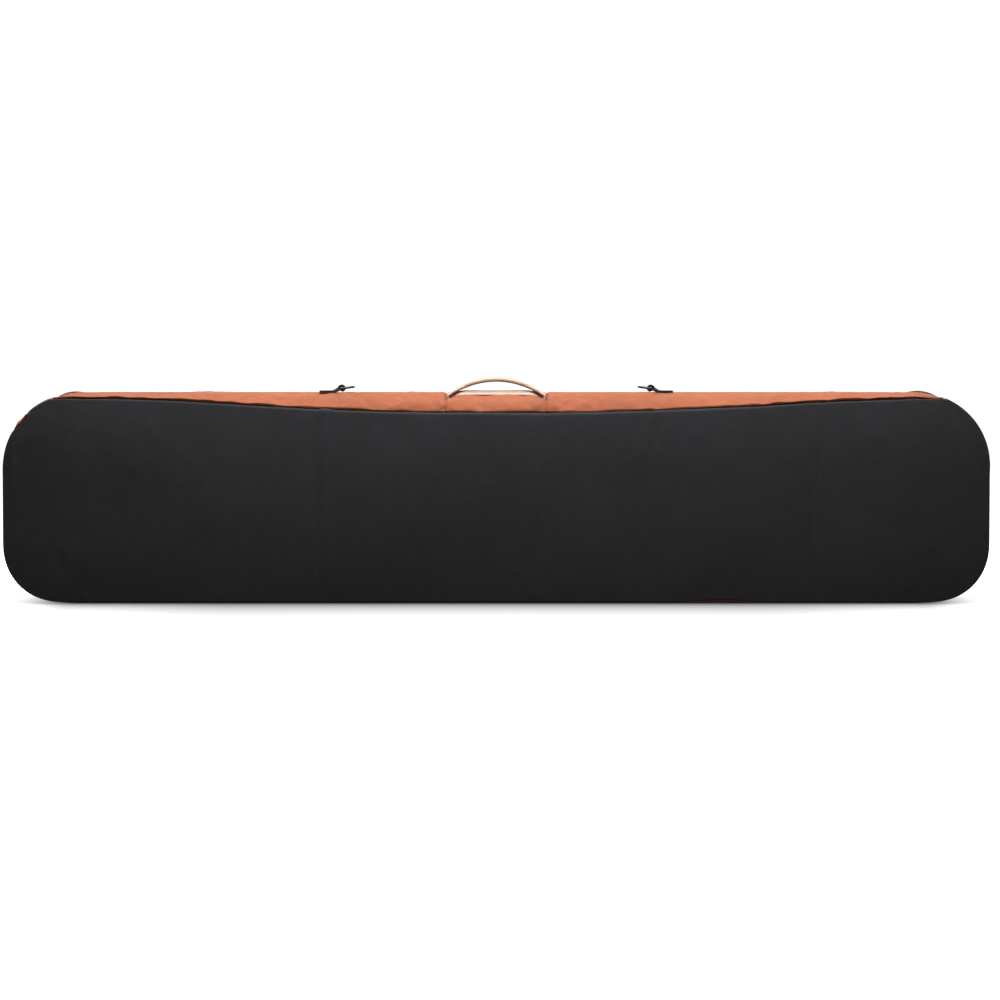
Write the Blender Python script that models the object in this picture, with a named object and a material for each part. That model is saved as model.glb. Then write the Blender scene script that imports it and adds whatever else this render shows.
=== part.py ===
"""Padded snowboard bag standing on a long edge.

Metres, +Z up. X runs along the bag, the back panel faces -Y and the front panel, which is the
lid, faces +Y. The origin is on the floor under the middle of the bag.

The bag's outline is a rounded rectangle in the XZ plane. Every sewn piece is described by how
deep it lies inside that outline ("inset") at each depth y, and follows the outline round.
"""

import math

import bmesh
import bpy
from mathutils import Matrix, Vector
from mathutils.geometry import tessellate_polygon

# Whole bag
LENGTH = 1.600
HEIGHT = 0.340
TOP_RADIUS = 0.126
BOTTOM_RADIUS = 0.097

# Layers
SKIN = 0.0009
FOAM = 0.0068
LINING = 0.0008
GAP = 0.0003

# Panels
SEAM_Y = 0.070
DOME = 0.005
DOME_WIDTH = 0.085
ROLL_TOP = 0.050
ROLL_BOTTOM = 0.012
DROP_MIDDLE = 0.030
DROP_TOP_END = 0.008
DROP_BOTTOM = 0.005
DROP_REACH = 0.70

# Gusset and zip
SEAM_X = 0.082
GUSSET_FRONT = 0.034
GUSSET_LAYER_BACK = -0.060
LID_BACK = 0.060
TAPE_INSET = 0.0115
TAPE_THICKNESS = 0.0008
COIL_HEIGHT = 0.0030
COIL_BODY = (0.0420, 0.0463)
COIL_LID = (0.0477, 0.0520)
COIL_MIDDLE = 0.0470
LID_INSET_TOP = 0.0045
LID_INSET_BOTTOM = 0.0020

# Handle
HANDLE_HALF = 0.079
HANDLE_AXIS = 0.0062
HANDLE_TOP = 0.0216
HANDLE_WIDTH = 0.038
HANDLE_THICKNESS = 0.0056
HANDLE_STRIP = 0.0022
TRIM_Y = 0.002

# D-rings
RING_X = 0.2530
RING_Z = 0.0065
RING_WIRE = 0.0015
RING_HALF_WIDTH = 0.0148
RING_REACH = 0.0202
RING_TILT = math.radians(7)
TAB_WIDTH = 0.025
TAB_END = 0.036

# Sliders
SLIDER_X = 0.0140
SLIDER_LENGTH = 0.0150
SLIDER_WIDTH = 0.0126
PULL_AXIS = 0.0067
PULL_LENGTH = 0.034


def clear_scene():
    for obj in list(bpy.data.objects):
        bpy.data.objects.remove(obj)


def material(name, color, roughness, metallic=0.0):
    mat = bpy.data.materials.new(name)
    mat.use_nodes = True
    shader = mat.node_tree.nodes["Principled BSDF"]
    shader.inputs["Base Color"].default_value = (*color, 1.0)
    shader.inputs["Roughness"].default_value = roughness
    shader.inputs["Metallic"].default_value = metallic
    mat.diffuse_color = (*color, 1.0)
    return mat


def add_object(name, bm, mat, smooth=True, origin=None):
    """Makes the closed mesh an object, with its origin at the given point."""
    bmesh.ops.recalc_face_normals(bm, faces=bm.faces)
    if origin is not None:
        bmesh.ops.translate(bm, verts=bm.verts, vec=-Vector(origin))
    mesh = bpy.data.meshes.new(name)
    bm.to_mesh(mesh)
    bm.free()
    mesh.materials.append(mat)
    if smooth:
        mesh.shade_smooth()
        mesh.set_sharp_from_angle(angle=math.radians(35))
    obj = bpy.data.objects.new(name, mesh)
    bpy.context.scene.collection.objects.link(obj)
    if origin is not None:
        obj.location = origin
    return obj


# ---------------------------------------------------------------- outline

HALF = LENGTH / 2
TOP_STRAIGHT = HALF - TOP_RADIUS
BOTTOM_STRAIGHT = HALF - BOTTOM_RADIUS
SIDE_STRAIGHT = HEIGHT - TOP_RADIUS - BOTTOM_RADIUS
TOP_ARC = TOP_RADIUS * math.pi / 2
BOTTOM_ARC = BOTTOM_RADIUS * math.pi / 2
CORNER_STEPS = 6

# Distances along the outline, from the middle of the bottom round by the left end.
S_LOW_LEFT = BOTTOM_STRAIGHT
S_SIDE_LEFT = S_LOW_LEFT + BOTTOM_ARC
S_HIGH_LEFT = S_SIDE_LEFT + SIDE_STRAIGHT
S_TOP_LEFT = S_HIGH_LEFT + TOP_ARC
S_TOP_MIDDLE = S_TOP_LEFT + TOP_STRAIGHT
S_TOTAL = 2 * S_TOP_MIDDLE


def left_station(s):
    """Point and outward direction on the left half, s from 0 at the bottom to the top middle."""
    if s <= S_LOW_LEFT:
        return -s, 0.0, 0.0, -1.0
    if s <= S_SIDE_LEFT:
        turn = (s - S_LOW_LEFT) / BOTTOM_RADIUS
        nx, nz = -math.sin(turn), -math.cos(turn)
        return -BOTTOM_STRAIGHT + BOTTOM_RADIUS * nx, BOTTOM_RADIUS * (1 + nz), nx, nz
    if s <= S_HIGH_LEFT:
        return -HALF, BOTTOM_RADIUS + s - S_SIDE_LEFT, -1.0, 0.0
    if s <= S_TOP_LEFT:
        turn = (s - S_HIGH_LEFT) / TOP_RADIUS
        nx, nz = -math.cos(turn), math.sin(turn)
        return -TOP_STRAIGHT + TOP_RADIUS * nx, HEIGHT - TOP_RADIUS * (1 - nz), nx, nz
    return -TOP_STRAIGHT + s - S_TOP_LEFT, HEIGHT, 0.0, 1.0


def station(s):
    s %= S_TOTAL
    if s <= S_TOP_MIDDLE:
        return left_station(s)
    x, z, nx, nz = left_station(S_TOTAL - s)
    return -x, z, -nx, nz


def half_distances():
    """The distances of the outline's shared stations, from the bottom middle to the top middle."""
    found = [0.0, 0.35, S_LOW_LEFT]
    found += [S_LOW_LEFT + BOTTOM_ARC * k / CORNER_STEPS for k in range(1, CORNER_STEPS + 1)]
    found += [S_HIGH_LEFT + TOP_ARC * k / CORNER_STEPS for k in range(CORNER_STEPS + 1)]
    found += [S_TOP_MIDDLE - x for x in (0.56, 0.44, 0.32, 0.20, SEAM_X, 0.0)]
    return found


def all_distances():
    half = half_distances()
    return half + [S_TOTAL - s for s in reversed(half[1:-1])]


def distances_between(start, end):
    inside = [s for s in all_distances() if start + 1e-5 < s < end - 1e-5]
    return [start] + inside + [end]


def smooth(value):
    value = min(1.0, max(0.0, value))
    return value * value * (3 - 2 * value)


def back_drop(st):
    """How far the back seam lies inside the outline."""
    x, _, _, nz = st
    along = 0.5 + 0.5 * math.cos(math.pi * min(1.0, abs(x) / DROP_REACH) ** 1.25)
    top = DROP_TOP_END + (DROP_MIDDLE - DROP_TOP_END) * along
    return DROP_BOTTOM + (top - DROP_BOTTOM) * smooth(nz)


def roll_width(st):
    """The depth over which the gusset rolls from the back seam to the outline."""
    return ROLL_BOTTOM + (ROLL_TOP - ROLL_BOTTOM) * smooth(st[3])


def lid_inset(st):
    return LID_INSET_BOTTOM + (LID_INSET_TOP - LID_INSET_BOTTOM) * smooth(0.5 + 0.5 * st[3])


def place(st, inset, y):
    x, z, nx, nz = st
    return Vector((x - nx * inset, y, z - nz * inset))


# ---------------------------------------------------------------- solids from profiles


def loft(stations, profile, closed_outline, closed_profile):
    """Sweeps profile(station), a list of (y, inset), along the stations into one closed solid."""
    bm = bmesh.new()
    rows = [[bm.verts.new(place(st, inset, y)) for y, inset in profile(st)] for st in stations]
    count = len(rows[0])
    pairs = list(zip(rows, rows[1:]))
    if closed_outline:
        pairs.append((rows[-1], rows[0]))
    steps = range(count if closed_profile else count - 1)
    for row, following in pairs:
        for k in steps:
            j = (k + 1) % count
            corners = (row[k], row[j], following[j], following[k])
            # Every layer splits its faces along the same diagonal, so that layers stay apart.
            turn = 0 if row[k].co.y <= row[j].co.y else 1
            a, b, c, d = corners[turn:] + corners[:turn]
            bm.faces.new((a, b, c))
            bm.faces.new((a, c, d))
    if not closed_outline:
        bm.faces.new(rows[0])
        bm.faces.new(list(reversed(rows[-1])))
    if not closed_profile:
        bm.faces.new([row[0] for row in rows])
        bm.faces.new([row[-1] for row in reversed(rows)])
    return bm


def thickened(line, thickness):
    """The open profile and its copy moved to its left by the thickness, as one closed profile."""
    moved = []
    for k, (a, b) in enumerate(line):
        before, after = line[max(k - 1, 0)], line[min(k + 1, len(line) - 1)]
        first = Vector((a - before[0], b - before[1]))
        second = Vector((after[0] - a, after[1] - b))
        first = first.normalized() if first.length > 1e-9 else second.normalized()
        second = second.normalized() if second.length > 1e-9 else first
        bisector = Vector((-(first.y + second.y), first.x + second.x)).normalized()
        along = bisector.dot(Vector((-first.y, first.x)))
        moved.append((a + bisector.x * thickness / along, b + bisector.y * thickness / along))
    return line + moved[::-1]


def polygon_prism(outer, holes, low, high):
    """A prism along Y between low and high. The outline and holes are lists of (x, z)."""
    loops = [outer] + holes
    flat = [[Vector((x, z, 0)) for x, z in loop] for loop in loops]
    triangles = tessellate_polygon(flat)
    points = [point for loop in loops for point in loop]
    bm = bmesh.new()
    front = [bm.verts.new((x, low, z)) for x, z in points]
    back = [bm.verts.new((x, high, z)) for x, z in points]
    for a, b, c in triangles:
        bm.faces.new((front[a], front[b], front[c]))
        bm.faces.new((back[c], back[b], back[a]))
    start = 0
    for loop in loops:
        for k in range(len(loop)):
            a, b = start + k, start + (k + 1) % len(loop)
            bm.faces.new((front[a], front[b], back[b], back[a]))
        start += len(loop)
    return bm


def circle(x, z, radius, count, start=0.0, end=2 * math.pi):
    """Points of a circle, or of an arc when its end is given."""
    full = abs(end - start - 2 * math.pi) < 1e-9
    last = count if full else count - 1
    turns = [start + (end - start) * k / last for k in range(count)]
    return [(x + radius * math.cos(t), z + radius * math.sin(t)) for t in turns]


def tube_loop(path, radius, sides):
    """A round bar along a closed path in one plane that holds the Y axis direction."""
    bm = bmesh.new()
    count = len(path)
    normal = (path[1] - path[0]).cross(path[count // 2] - path[0]).normalized()
    rows = []
    for k, point in enumerate(path):
        tangent = (path[(k + 1) % count] - path[k - 1]).normalized()
        side = normal.cross(tangent)
        turns = [2 * math.pi * j / sides for j in range(sides)]
        offsets = [side * math.cos(t) * radius + normal * math.sin(t) * radius for t in turns]
        rows.append([bm.verts.new(point + offset) for offset in offsets])
    for k in range(count):
        row, following = rows[k], rows[(k + 1) % count]
        for j in range(sides):
            i = (j + 1) % sides
            bm.faces.new((row[j], row[i], following[i], following[j]))
    return bm


# ---------------------------------------------------------------- sewn shell


def panel_face(run):
    """Distance of a panel's outer face from the middle plane, run in from its seam."""
    return SEAM_Y + DOME * math.sin(math.pi / 2 * min(1.0, run / DOME_WIDTH))


def panel_ring(seam, run):
    """Inset of a ring that runs parallel to the seam at its edge and to the outline inside."""
    return seam * (1 - run / 0.09) + run


def back_profile(runs, outside, thickness):
    """A slab's profile: its outer face from the middle out, then its inner face back."""

    def profile(st):
        seam = back_drop(st)
        rows = [(-panel_face(run) + outside, panel_ring(seam, run)) for run in runs]
        return rows + [(y + thickness, inset) for y, inset in reversed(rows)]

    return profile


def front_profile(runs, outside, thickness, edge):
    """As back_profile, mirrored, with its outline at the same inset all the way round."""

    def profile(st):
        seam = lid_inset(st)
        insets = [panel_ring(seam, run) for run in runs[:-1]] + [edge]
        faces = [panel_face(run) for run in runs[:-1]] + [panel_face(edge - seam)]
        rows = [(face - outside, inset) for face, inset in zip(faces, insets)]
        return rows + [(y - thickness, inset) for y, inset in reversed(rows)]

    return profile


def front_skin_profile(st):
    """The front panel's fabric: its face, its rounded edge and the lip sewn to the zip tape."""
    seam = lid_inset(st)
    line = [(panel_face(run), panel_ring(seam, run)) for run in (0.085, 0.050, 0.026, 0.009)]
    line += [(0.0690, seam + 0.0028), (0.0660, seam), (0.0628, seam), (0.0606, seam + 0.0012)]
    line += [(LID_BACK, seam + 0.0030), (LID_BACK, TAPE_INSET - TAPE_THICKNESS / 2 - GAP)]
    return thickened(line, -SKIN)


def gusset_line(st):
    line = []
    for turn in (0, 14, 32, 58, 90):
        angle = math.radians(turn)
        y = -SEAM_Y + roll_width(st) * (1 - math.cos(angle))
        line.append((y, back_drop(st) * (1 - math.sin(angle))))
    return line


def gusset_profile(st):
    """The gusset's fabric, from the back seam over the outline down to the zip tape."""
    line = gusset_line(st) + [(GUSSET_FRONT - 0.0040, 0.0), (GUSSET_FRONT - 0.0012, 0.0012)]
    line += [(GUSSET_FRONT, 0.0040), (GUSSET_FRONT, TAPE_INSET - TAPE_THICKNESS / 2 - GAP)]
    return thickened(line, SKIN)


def gusset_bottom_profile(st):
    """Along the floor the gusset runs flat under the lid, whose hinge it is."""
    return thickened(gusset_line(st) + [(0.0725, 0.0)], SKIN)


def gusset_inner_profile(outside, thickness, front):
    """A layer under the gusset's fabric, from clear of the back seam to clear of the zip."""

    def profile(st):
        back = GUSSET_LAYER_BACK
        line = gusset_line(st)
        rows = [point for point in line if point[0] > back + 0.0010]
        before = line[len(line) - len(rows) - 1]
        share = (back - before[0]) / (rows[0][0] - before[0])
        rows.insert(0, (back, before[1] + (rows[0][1] - before[1]) * share))
        while len(rows) < 3:
            rows.append((rows[-1][0] + 0.010, 0.0))
        rows = rows[:3] + [(front, 0.0)]
        rows = [(y, inset + outside) for y, inset in rows]
        return rows + [(y, inset + thickness) for y, inset in reversed(rows)]

    return profile


def box_profile(y0, y1, inset0, inset1):
    def profile(_):
        return [(y0, inset0), (y1, inset0), (y1, inset1), (y0, inset1)]

    return profile


def binding_profile(st):
    seam = back_drop(st)
    return [
        (-0.0674, seam - 0.0005),
        (-0.0606, seam - 0.0005),
        (-0.0606, seam + 0.0022),
        (-0.0674, seam + 0.0022),
    ]


def coil_profile(y0, y1):
    half = COIL_HEIGHT / 2
    edge = 0.0008

    def profile(_):
        return [
            (y0, TAPE_INSET - half + edge),
            (y0 + edge, TAPE_INSET - half),
            (y1 - edge, TAPE_INSET - half),
            (y1, TAPE_INSET - half + edge),
            (y1, TAPE_INSET + half - edge),
            (y1 - edge, TAPE_INSET + half),
            (y0 + edge, TAPE_INSET + half),
            (y0, TAPE_INSET + half - edge),
        ]

    return profile


def open_run(start, end):
    return [station(s) for s in distances_between(start, end)]


def build_panels(mats):
    ring = [station(s) for s in all_distances()]
    runs = (0.085, 0.052, 0.028, 0.010, 0.0030, 0.0012)
    bm = loft(ring, back_profile(runs, 0.0, SKIN), True, False)
    add_object("back_panel", bm, mats["back_fabric"])
    runs = (0.085, 0.050, 0.024, 0.0045)
    bm = loft(ring, back_profile(runs, SKIN + GAP, FOAM), True, False)
    add_object("back_foam", bm, mats["foam"])
    bm = loft(ring, back_profile(runs, SKIN + FOAM + 2 * GAP, LINING), True, False)
    add_object("back_lining", bm, mats["lining"])
    bm = loft(ring, binding_profile, True, True)
    add_object("back_seam_binding", bm, mats["binding"], smooth=False)

    bm = loft(ring, front_skin_profile, True, False)
    add_object("front_panel", bm, mats["front_fabric"])
    runs = (0.085, 0.050, 0.026, 0.0)
    bm = loft(ring, front_profile(runs, SKIN + GAP, FOAM, 0.0155), True, False)
    add_object("front_foam", bm, mats["foam"])
    bm = loft(ring, front_profile(runs, SKIN + FOAM + 2 * GAP, LINING, 0.0155), True, False)
    add_object("front_lining", bm, mats["lining"])
    bm = loft(ring, box_profile(0.0612, 0.0640, 0.0122, 0.0150), True, True)
    add_object("lid_edge_binding", bm, mats["binding"], smooth=False)


def build_gusset(mats):
    seam = S_TOP_MIDDLE - SEAM_X
    low = S_LOW_LEFT + GAP
    pieces = {
        "gusset_left": (low, seam),
        "gusset_centre": (seam + GAP, S_TOTAL - seam - GAP),
        "gusset_right": (S_TOTAL - seam, S_TOTAL - low),
    }
    for name, (start, end) in pieces.items():
        bm = loft(open_run(start, end), gusset_profile, False, True)
        add_object(name, bm, mats["gusset_fabric"])
    bottom = [station(x) for x in (-BOTTOM_STRAIGHT, -0.35, 0.0, 0.35, BOTTOM_STRAIGHT)]
    bm = loft(bottom, gusset_bottom_profile, False, True)
    add_object("gusset_bottom", bm, mats["gusset_fabric"])

    outside = SKIN + 3 * GAP
    foam = gusset_inner_profile(outside, FOAM, 0.0315)
    pieces = {
        "gusset_foam_left": (low, S_TOP_LEFT - GAP),
        "gusset_foam_top": (S_TOP_LEFT, S_TOTAL - S_TOP_LEFT),
        "gusset_foam_right": (S_TOTAL - S_TOP_LEFT + GAP, S_TOTAL - low),
    }
    for name, (start, end) in pieces.items():
        add_object(name, loft(open_run(start, end), foam, False, True), mats["foam"])
    add_object("gusset_foam_bottom", loft(bottom, foam, False, True), mats["foam"])
    lining = gusset_inner_profile(outside + FOAM + 2 * GAP, LINING, 0.0310)
    ring = [station(s) for s in all_distances()]
    add_object("gusset_lining", loft(ring, lining, True, True), mats["lining"])


def build_zip(mats):
    start, end = S_LOW_LEFT + 0.002, S_TOTAL - S_LOW_LEFT - 0.002
    half = TAPE_THICKNESS / 2
    parts = {
        "zip_tape_body": (0.0290, COIL_BODY[0] - GAP),
        "zip_tape_lid": (COIL_LID[1] + GAP, 0.0640),
    }
    for name, (y0, y1) in parts.items():
        profile = box_profile(y0, y1, TAPE_INSET - half, TAPE_INSET + half)
        bm = loft(open_run(start, end), profile, False, True)
        add_object(name, bm, mats["zip_tape"], smooth=False)
    for name, (y0, y1) in (("zip_coil_body", COIL_BODY), ("zip_coil_lid", COIL_LID)):
        bm = loft(open_run(start, end), coil_profile(y0, y1), False, True)
        add_object(name, bm, mats["zip_coil"])
    for name, side in (("zip_end_left", -1), ("zip_end_right", 1)):
        stations = [station(-side * (BOTTOM_STRAIGHT - k)) for k in (0.016, 0.0)]
        profile = box_profile(0.0380, 0.0470, 0.0098, 0.0136)
        add_object(name, loft(stations, profile, False, True), mats["black_webbing"], smooth=False)


# ---------------------------------------------------------------- handle and D-rings


def strap(centres, half_widths, half_thicknesses):
    """A flat strap through points of the XZ plane, as wide in Y as given at each point."""
    bm = bmesh.new()
    rows = []
    last = len(centres) - 1
    for k, (x, z) in enumerate(centres):
        before, after = centres[max(k - 1, 0)], centres[min(k + 1, last)]
        along = Vector((after[0] - before[0], 0, after[1] - before[1])).normalized()
        up = Vector((-along.z, 0, along.x)) * half_thicknesses[k]
        wide = Vector((0, half_widths[k], 0))
        middle = Vector((x, TRIM_Y, z))
        corners = (-wide - up, wide - up, wide + up, -wide + up)
        rows.append([bm.verts.new(middle + corner) for corner in corners])
    for row, following in zip(rows, rows[1:]):
        for j in range(4):
            i = (j + 1) % 4
            bm.faces.new((row[j], row[i], following[i], following[j]))
    bm.faces.new(rows[0])
    bm.faces.new(list(reversed(rows[-1])))
    return bm


def build_handle(mats):
    rise = HANDLE_TOP - HANDLE_AXIS
    radius = (HANDLE_HALF**2 + rise**2) / (2 * rise)
    steps = 18
    centres, widths, thicknesses = [], [], []
    for k in range(steps + 1):
        x = -HANDLE_HALF * math.cos(math.pi * k / steps)
        z = HEIGHT + HANDLE_TOP - radius + math.sqrt(radius**2 - x**2)
        grown = smooth((HANDLE_HALF - abs(x)) / 0.036)
        centres.append((x, z))
        widths.append(0.005 + (HANDLE_WIDTH / 2 - 0.005) * grown)
        thicknesses.append(0.0011 + (HANDLE_THICKNESS / 2 - 0.0011) * grown)
    bm = strap(centres, widths, thicknesses)
    axis = (0, TRIM_Y, HEIGHT + HANDLE_AXIS)
    add_object("handle_grip", bm, mats["tan_webbing"], origin=axis)
    middle = HEIGHT + GAP + HANDLE_STRIP / 2
    flat = [(-HANDLE_HALF + 0.0015, middle), (HANDLE_HALF - 0.0015, middle)]
    bm = strap(flat, [HANDLE_WIDTH / 2] * 2, [HANDLE_STRIP / 2] * 2)
    add_object("handle_base_strap", bm, mats["tan_webbing"], smooth=False)


def ring_path(side):
    """The D-ring's centre line: its straight bar and the bow that points to the handle."""
    bar = TAB_WIDTH / 2 + 0.0005
    points = [(0.0, -bar), (0.0, 0.0), (0.0, bar)]
    points += [(0.0009, RING_HALF_WIDTH * 0.965), (0.0029, RING_HALF_WIDTH)]
    reach = RING_REACH - 0.0060
    for k in range(13):
        turn = math.pi / 2 - math.pi * k / 12
        points.append((0.0060 + reach * math.cos(turn), RING_HALF_WIDTH * math.sin(turn)))
    points += [(0.0029, -RING_HALF_WIDTH), (0.0009, -RING_HALF_WIDTH * 0.965)]
    centre = Vector((side * RING_X, TRIM_Y, HEIGHT + RING_Z))
    tilt = Matrix.Rotation(side * RING_TILT, 3, "Y")
    return [centre + tilt @ Vector((-side * u, v, 0)) for u, v in points]


def tab_outline(side):
    """The webbing tab from its sewn end to its loop round the ring's bar, and the loop's hole."""
    x, z = side * RING_X, HEIGHT + RING_Z
    outer = [(TAB_END, -RING_Z + 0.0033), (TAB_END, -RING_Z + GAP), (0.0115, -RING_Z + GAP)]
    outer += circle(0, 0, 0.0044, 13, math.radians(-62), math.radians(-292))
    outer.append((0.0105, -RING_Z + 0.0036))
    hole = circle(0, 0, 0.0020, 14)
    return [(x + side * u, z + w) for u, w in outer], [(x + side * u, z + w) for u, w in hole]


def build_d_rings(mats):
    for name, side in (("left", -1), ("right", 1)):
        bm = tube_loop(ring_path(side), RING_WIRE, 8)
        origin = (side * RING_X, TRIM_Y, HEIGHT + RING_Z)
        add_object("d_ring_" + name, bm, mats["ring_metal"], origin=origin)
        outer, hole = tab_outline(side)
        bm = polygon_prism(outer, [hole], TRIM_Y - TAB_WIDTH / 2, TRIM_Y + TAB_WIDTH / 2)
        add_object("d_ring_tab_" + name, bm, mats["black_webbing"])


# ---------------------------------------------------------------- sliders


def slider_mesh(side):
    """The plates, the wedge between the coils and the bail, welded into one solid."""
    x, base = side * SLIDER_X, HEIGHT - TAPE_INSET
    half, wide = SLIDER_LENGTH / 2, SLIDER_WIDTH / 2
    bm = bmesh.new()
    nose = -side * half

    def plate(low, high):
        shape = [
            (nose, -wide * 0.62),
            (nose * 0.55, -wide),
            (-nose * 0.8, -wide),
            (-nose, -wide * 0.7),
            (-nose, wide * 0.7),
            (-nose * 0.8, wide),
            (nose * 0.55, wide),
            (nose, wide * 0.62),
        ]
        return [[(x + u, COIL_MIDDLE + v, base + w) for u, v in shape] for w in (low, high)]

    wedge_x = (nose * 0.86, nose * 0.26)
    wedge = [(x + u, COIL_MIDDLE + v) for u, v in (
        (wedge_x[0], -0.0004), (wedge_x[1], -0.0004), (wedge_x[1], 0.0004), (wedge_x[0], 0.0004))]
    bottom, top = plate(-0.0033, -0.0021), plate(0.0021, 0.0033)

    def ring_of(points):
        return [bm.verts.new(point) for point in points]

    def wall(lower, upper):
        for k in range(len(lower)):
            j = (k + 1) % len(lower)
            bm.faces.new((lower[k], lower[j], upper[j], upper[k]))

    def holed(outer, inner):
        """The flat faces between an outline and the four corners of a hole in it."""
        outline = [vert.co.copy() for vert in outer]
        hole = [vert.co.copy() for vert in inner]
        verts = outer + inner
        flat = [[Vector((p.x, p.y, 0)) for p in loop] for loop in (outline, hole)]
        for a, b, c in tessellate_polygon(flat):
            bm.faces.new((verts[a], verts[b], verts[c]))

    lower_out, lower_in = ring_of(bottom[0]), ring_of(bottom[1])
    upper_in, upper_out = ring_of(top[0]), ring_of(top[1])
    wall(lower_out, lower_in)
    wall(upper_in, upper_out)
    bm.faces.new(lower_out)
    low_wedge = ring_of([(a, b, base - 0.0021) for a, b in wedge])
    high_wedge = ring_of([(a, b, base + 0.0021) for a, b in wedge])
    wall(low_wedge, high_wedge)
    holed(lower_in, low_wedge)
    holed(upper_in, high_wedge)

    # The bail is an arch from tail to nose. The puller's bar runs through it along Y.
    foot = ((-0.0050, -0.0030), (0.0030, 0.0050))
    width = 0.0014
    feet = []
    for u0, u1 in foot:
        corners = ((u0, -width), (u1, -width), (u1, width), (u0, width))
        feet.append(ring_of([(x + u, COIL_MIDDLE + v, base + 0.0033) for u, v in corners]))
    outline = [[Vector((v.co.x, v.co.y, 0)) for v in loop] for loop in [upper_out] + feet]
    verts = upper_out + feet[0] + feet[1]
    for a, b, c in tessellate_polygon(outline):
        bm.faces.new((verts[a], verts[b], verts[c]))
    arch_in = [(-0.0030, 0.0033), (-0.0027, 0.0058), (-0.0016, 0.0064)]
    arch_in += [(-u, w) for u, w in reversed(arch_in)]
    arch_out = [(-0.0050, 0.0033), (-0.0044, 0.0066), (-0.0024, 0.0078)]
    arch_out += [(-u, w) for u, w in reversed(arch_out)]
    near = [[], []]
    for row, v in zip(near, (-width, width)):
        for line in (arch_out, arch_in):
            row.append([(x + u, COIL_MIDDLE + v, base + w) for u, w in line])

    def vert_at(point):
        for vert in bm.verts:
            if (vert.co - Vector(point)).length < 1e-6:
                return vert
        return bm.verts.new(point)

    grid = [[[vert_at(point) for point in line] for line in row] for row in near]
    last = len(arch_in) - 1
    for k in range(last):
        out0, out1 = grid[0][0], grid[1][0]
        in0, in1 = grid[0][1], grid[1][1]
        bm.faces.new((out0[k], out0[k + 1], out1[k + 1], out1[k]))
        bm.faces.new((in0[k], in1[k], in1[k + 1], in0[k + 1]))
        bm.faces.new((out0[k], in0[k], in0[k + 1], out0[k + 1]))
        bm.faces.new((out1[k], out1[k + 1], in1[k + 1], in1[k]))
    return bm


def puller_mesh(side):
    """The frame that hangs in the bail and the grip plate, lying along the tape."""
    x, z = side * SLIDER_X, HEIGHT - PULL_AXIS
    bar = 0.0008
    outer = [(-bar, -0.0034), (0.0100, -0.0034), (0.0130, -0.0040), (PULL_LENGTH - 0.003, -0.0040)]
    outer += [(PULL_LENGTH, -0.0022)]
    outer += [(u, -v) for u, v in reversed(outer)]
    window = [(bar, -0.0021), (0.0085, -0.0021), (0.0085, 0.0021), (bar, 0.0021)]
    loops = [outer, window]
    flat = [[Vector((u, v, 0)) for u, v in loop] for loop in loops]
    points = [point for loop in loops for point in loop]
    bm = bmesh.new()
    low = [bm.verts.new((x + side * u, COIL_MIDDLE + v, z - bar)) for u, v in points]
    high = [bm.verts.new((x + side * u, COIL_MIDDLE + v, z + bar)) for u, v in points]
    for a, b, c in tessellate_polygon(flat):
        bm.faces.new((low[a], low[b], low[c]))
        bm.faces.new((high[c], high[b], high[a]))
    start = 0
    for loop in loops:
        for k in range(len(loop)):
            a, b = start + k, start + (k + 1) % len(loop)
            bm.faces.new((low[a], low[b], high[b], high[a]))
        start += len(loop)
    return bm


def build_sliders(mats):
    for name, side in (("left", -1), ("right", 1)):
        origin = (side * SLIDER_X, COIL_MIDDLE, HEIGHT - TAPE_INSET)
        add_object("slider_" + name, slider_mesh(side), mats["slider_metal"], False, origin)
        origin = (side * SLIDER_X, COIL_MIDDLE, HEIGHT - PULL_AXIS)
        add_object("puller_" + name, puller_mesh(side), mats["slider_metal"], False, origin)


def build_materials():
    return {
        "back_fabric": material("back_fabric", (0.022, 0.022, 0.025), 0.88),
        "front_fabric": material("front_fabric", (0.60, 0.215, 0.125), 0.85),
        "gusset_fabric": material("gusset_fabric", (0.62, 0.22, 0.125), 0.85),
        "foam": material("foam", (0.72, 0.72, 0.70), 0.95),
        "lining": material("lining", (0.060, 0.062, 0.068), 0.80),
        "binding": material("binding", (0.020, 0.020, 0.022), 0.85),
        "zip_tape": material("zip_tape", (0.018, 0.018, 0.020), 0.85),
        "zip_coil": material("zip_coil", (0.025, 0.025, 0.027), 0.40),
        "tan_webbing": material("tan_webbing", (0.80, 0.62, 0.48), 0.80),
        "black_webbing": material("black_webbing", (0.030, 0.030, 0.035), 0.70),
        "ring_metal": material("ring_metal", (0.10, 0.10, 0.105), 0.35, 1.0),
        "slider_metal": material("slider_metal", (0.05, 0.05, 0.055), 0.40, 1.0),
    }


def main():
    clear_scene()
    mats = build_materials()
    build_panels(mats)
    build_gusset(mats)
    build_zip(mats)
    build_handle(mats)
    build_d_rings(mats)
    build_sliders(mats)


main()
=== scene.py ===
"""Looks of the padded snowboard bag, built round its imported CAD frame.

Metres, +Z up. The back panel faces -Y, the front panel, which is the lid, faces +Y.
The bag's outline is a rounded rectangle in the XZ plane. A sewn piece is described by how deep it
lies inside that outline ("inset") at each depth y, and follows the outline round.
"""

import math

import bpy
import bmesh
import numpy as np
from mathutils import Matrix, Vector


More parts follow.
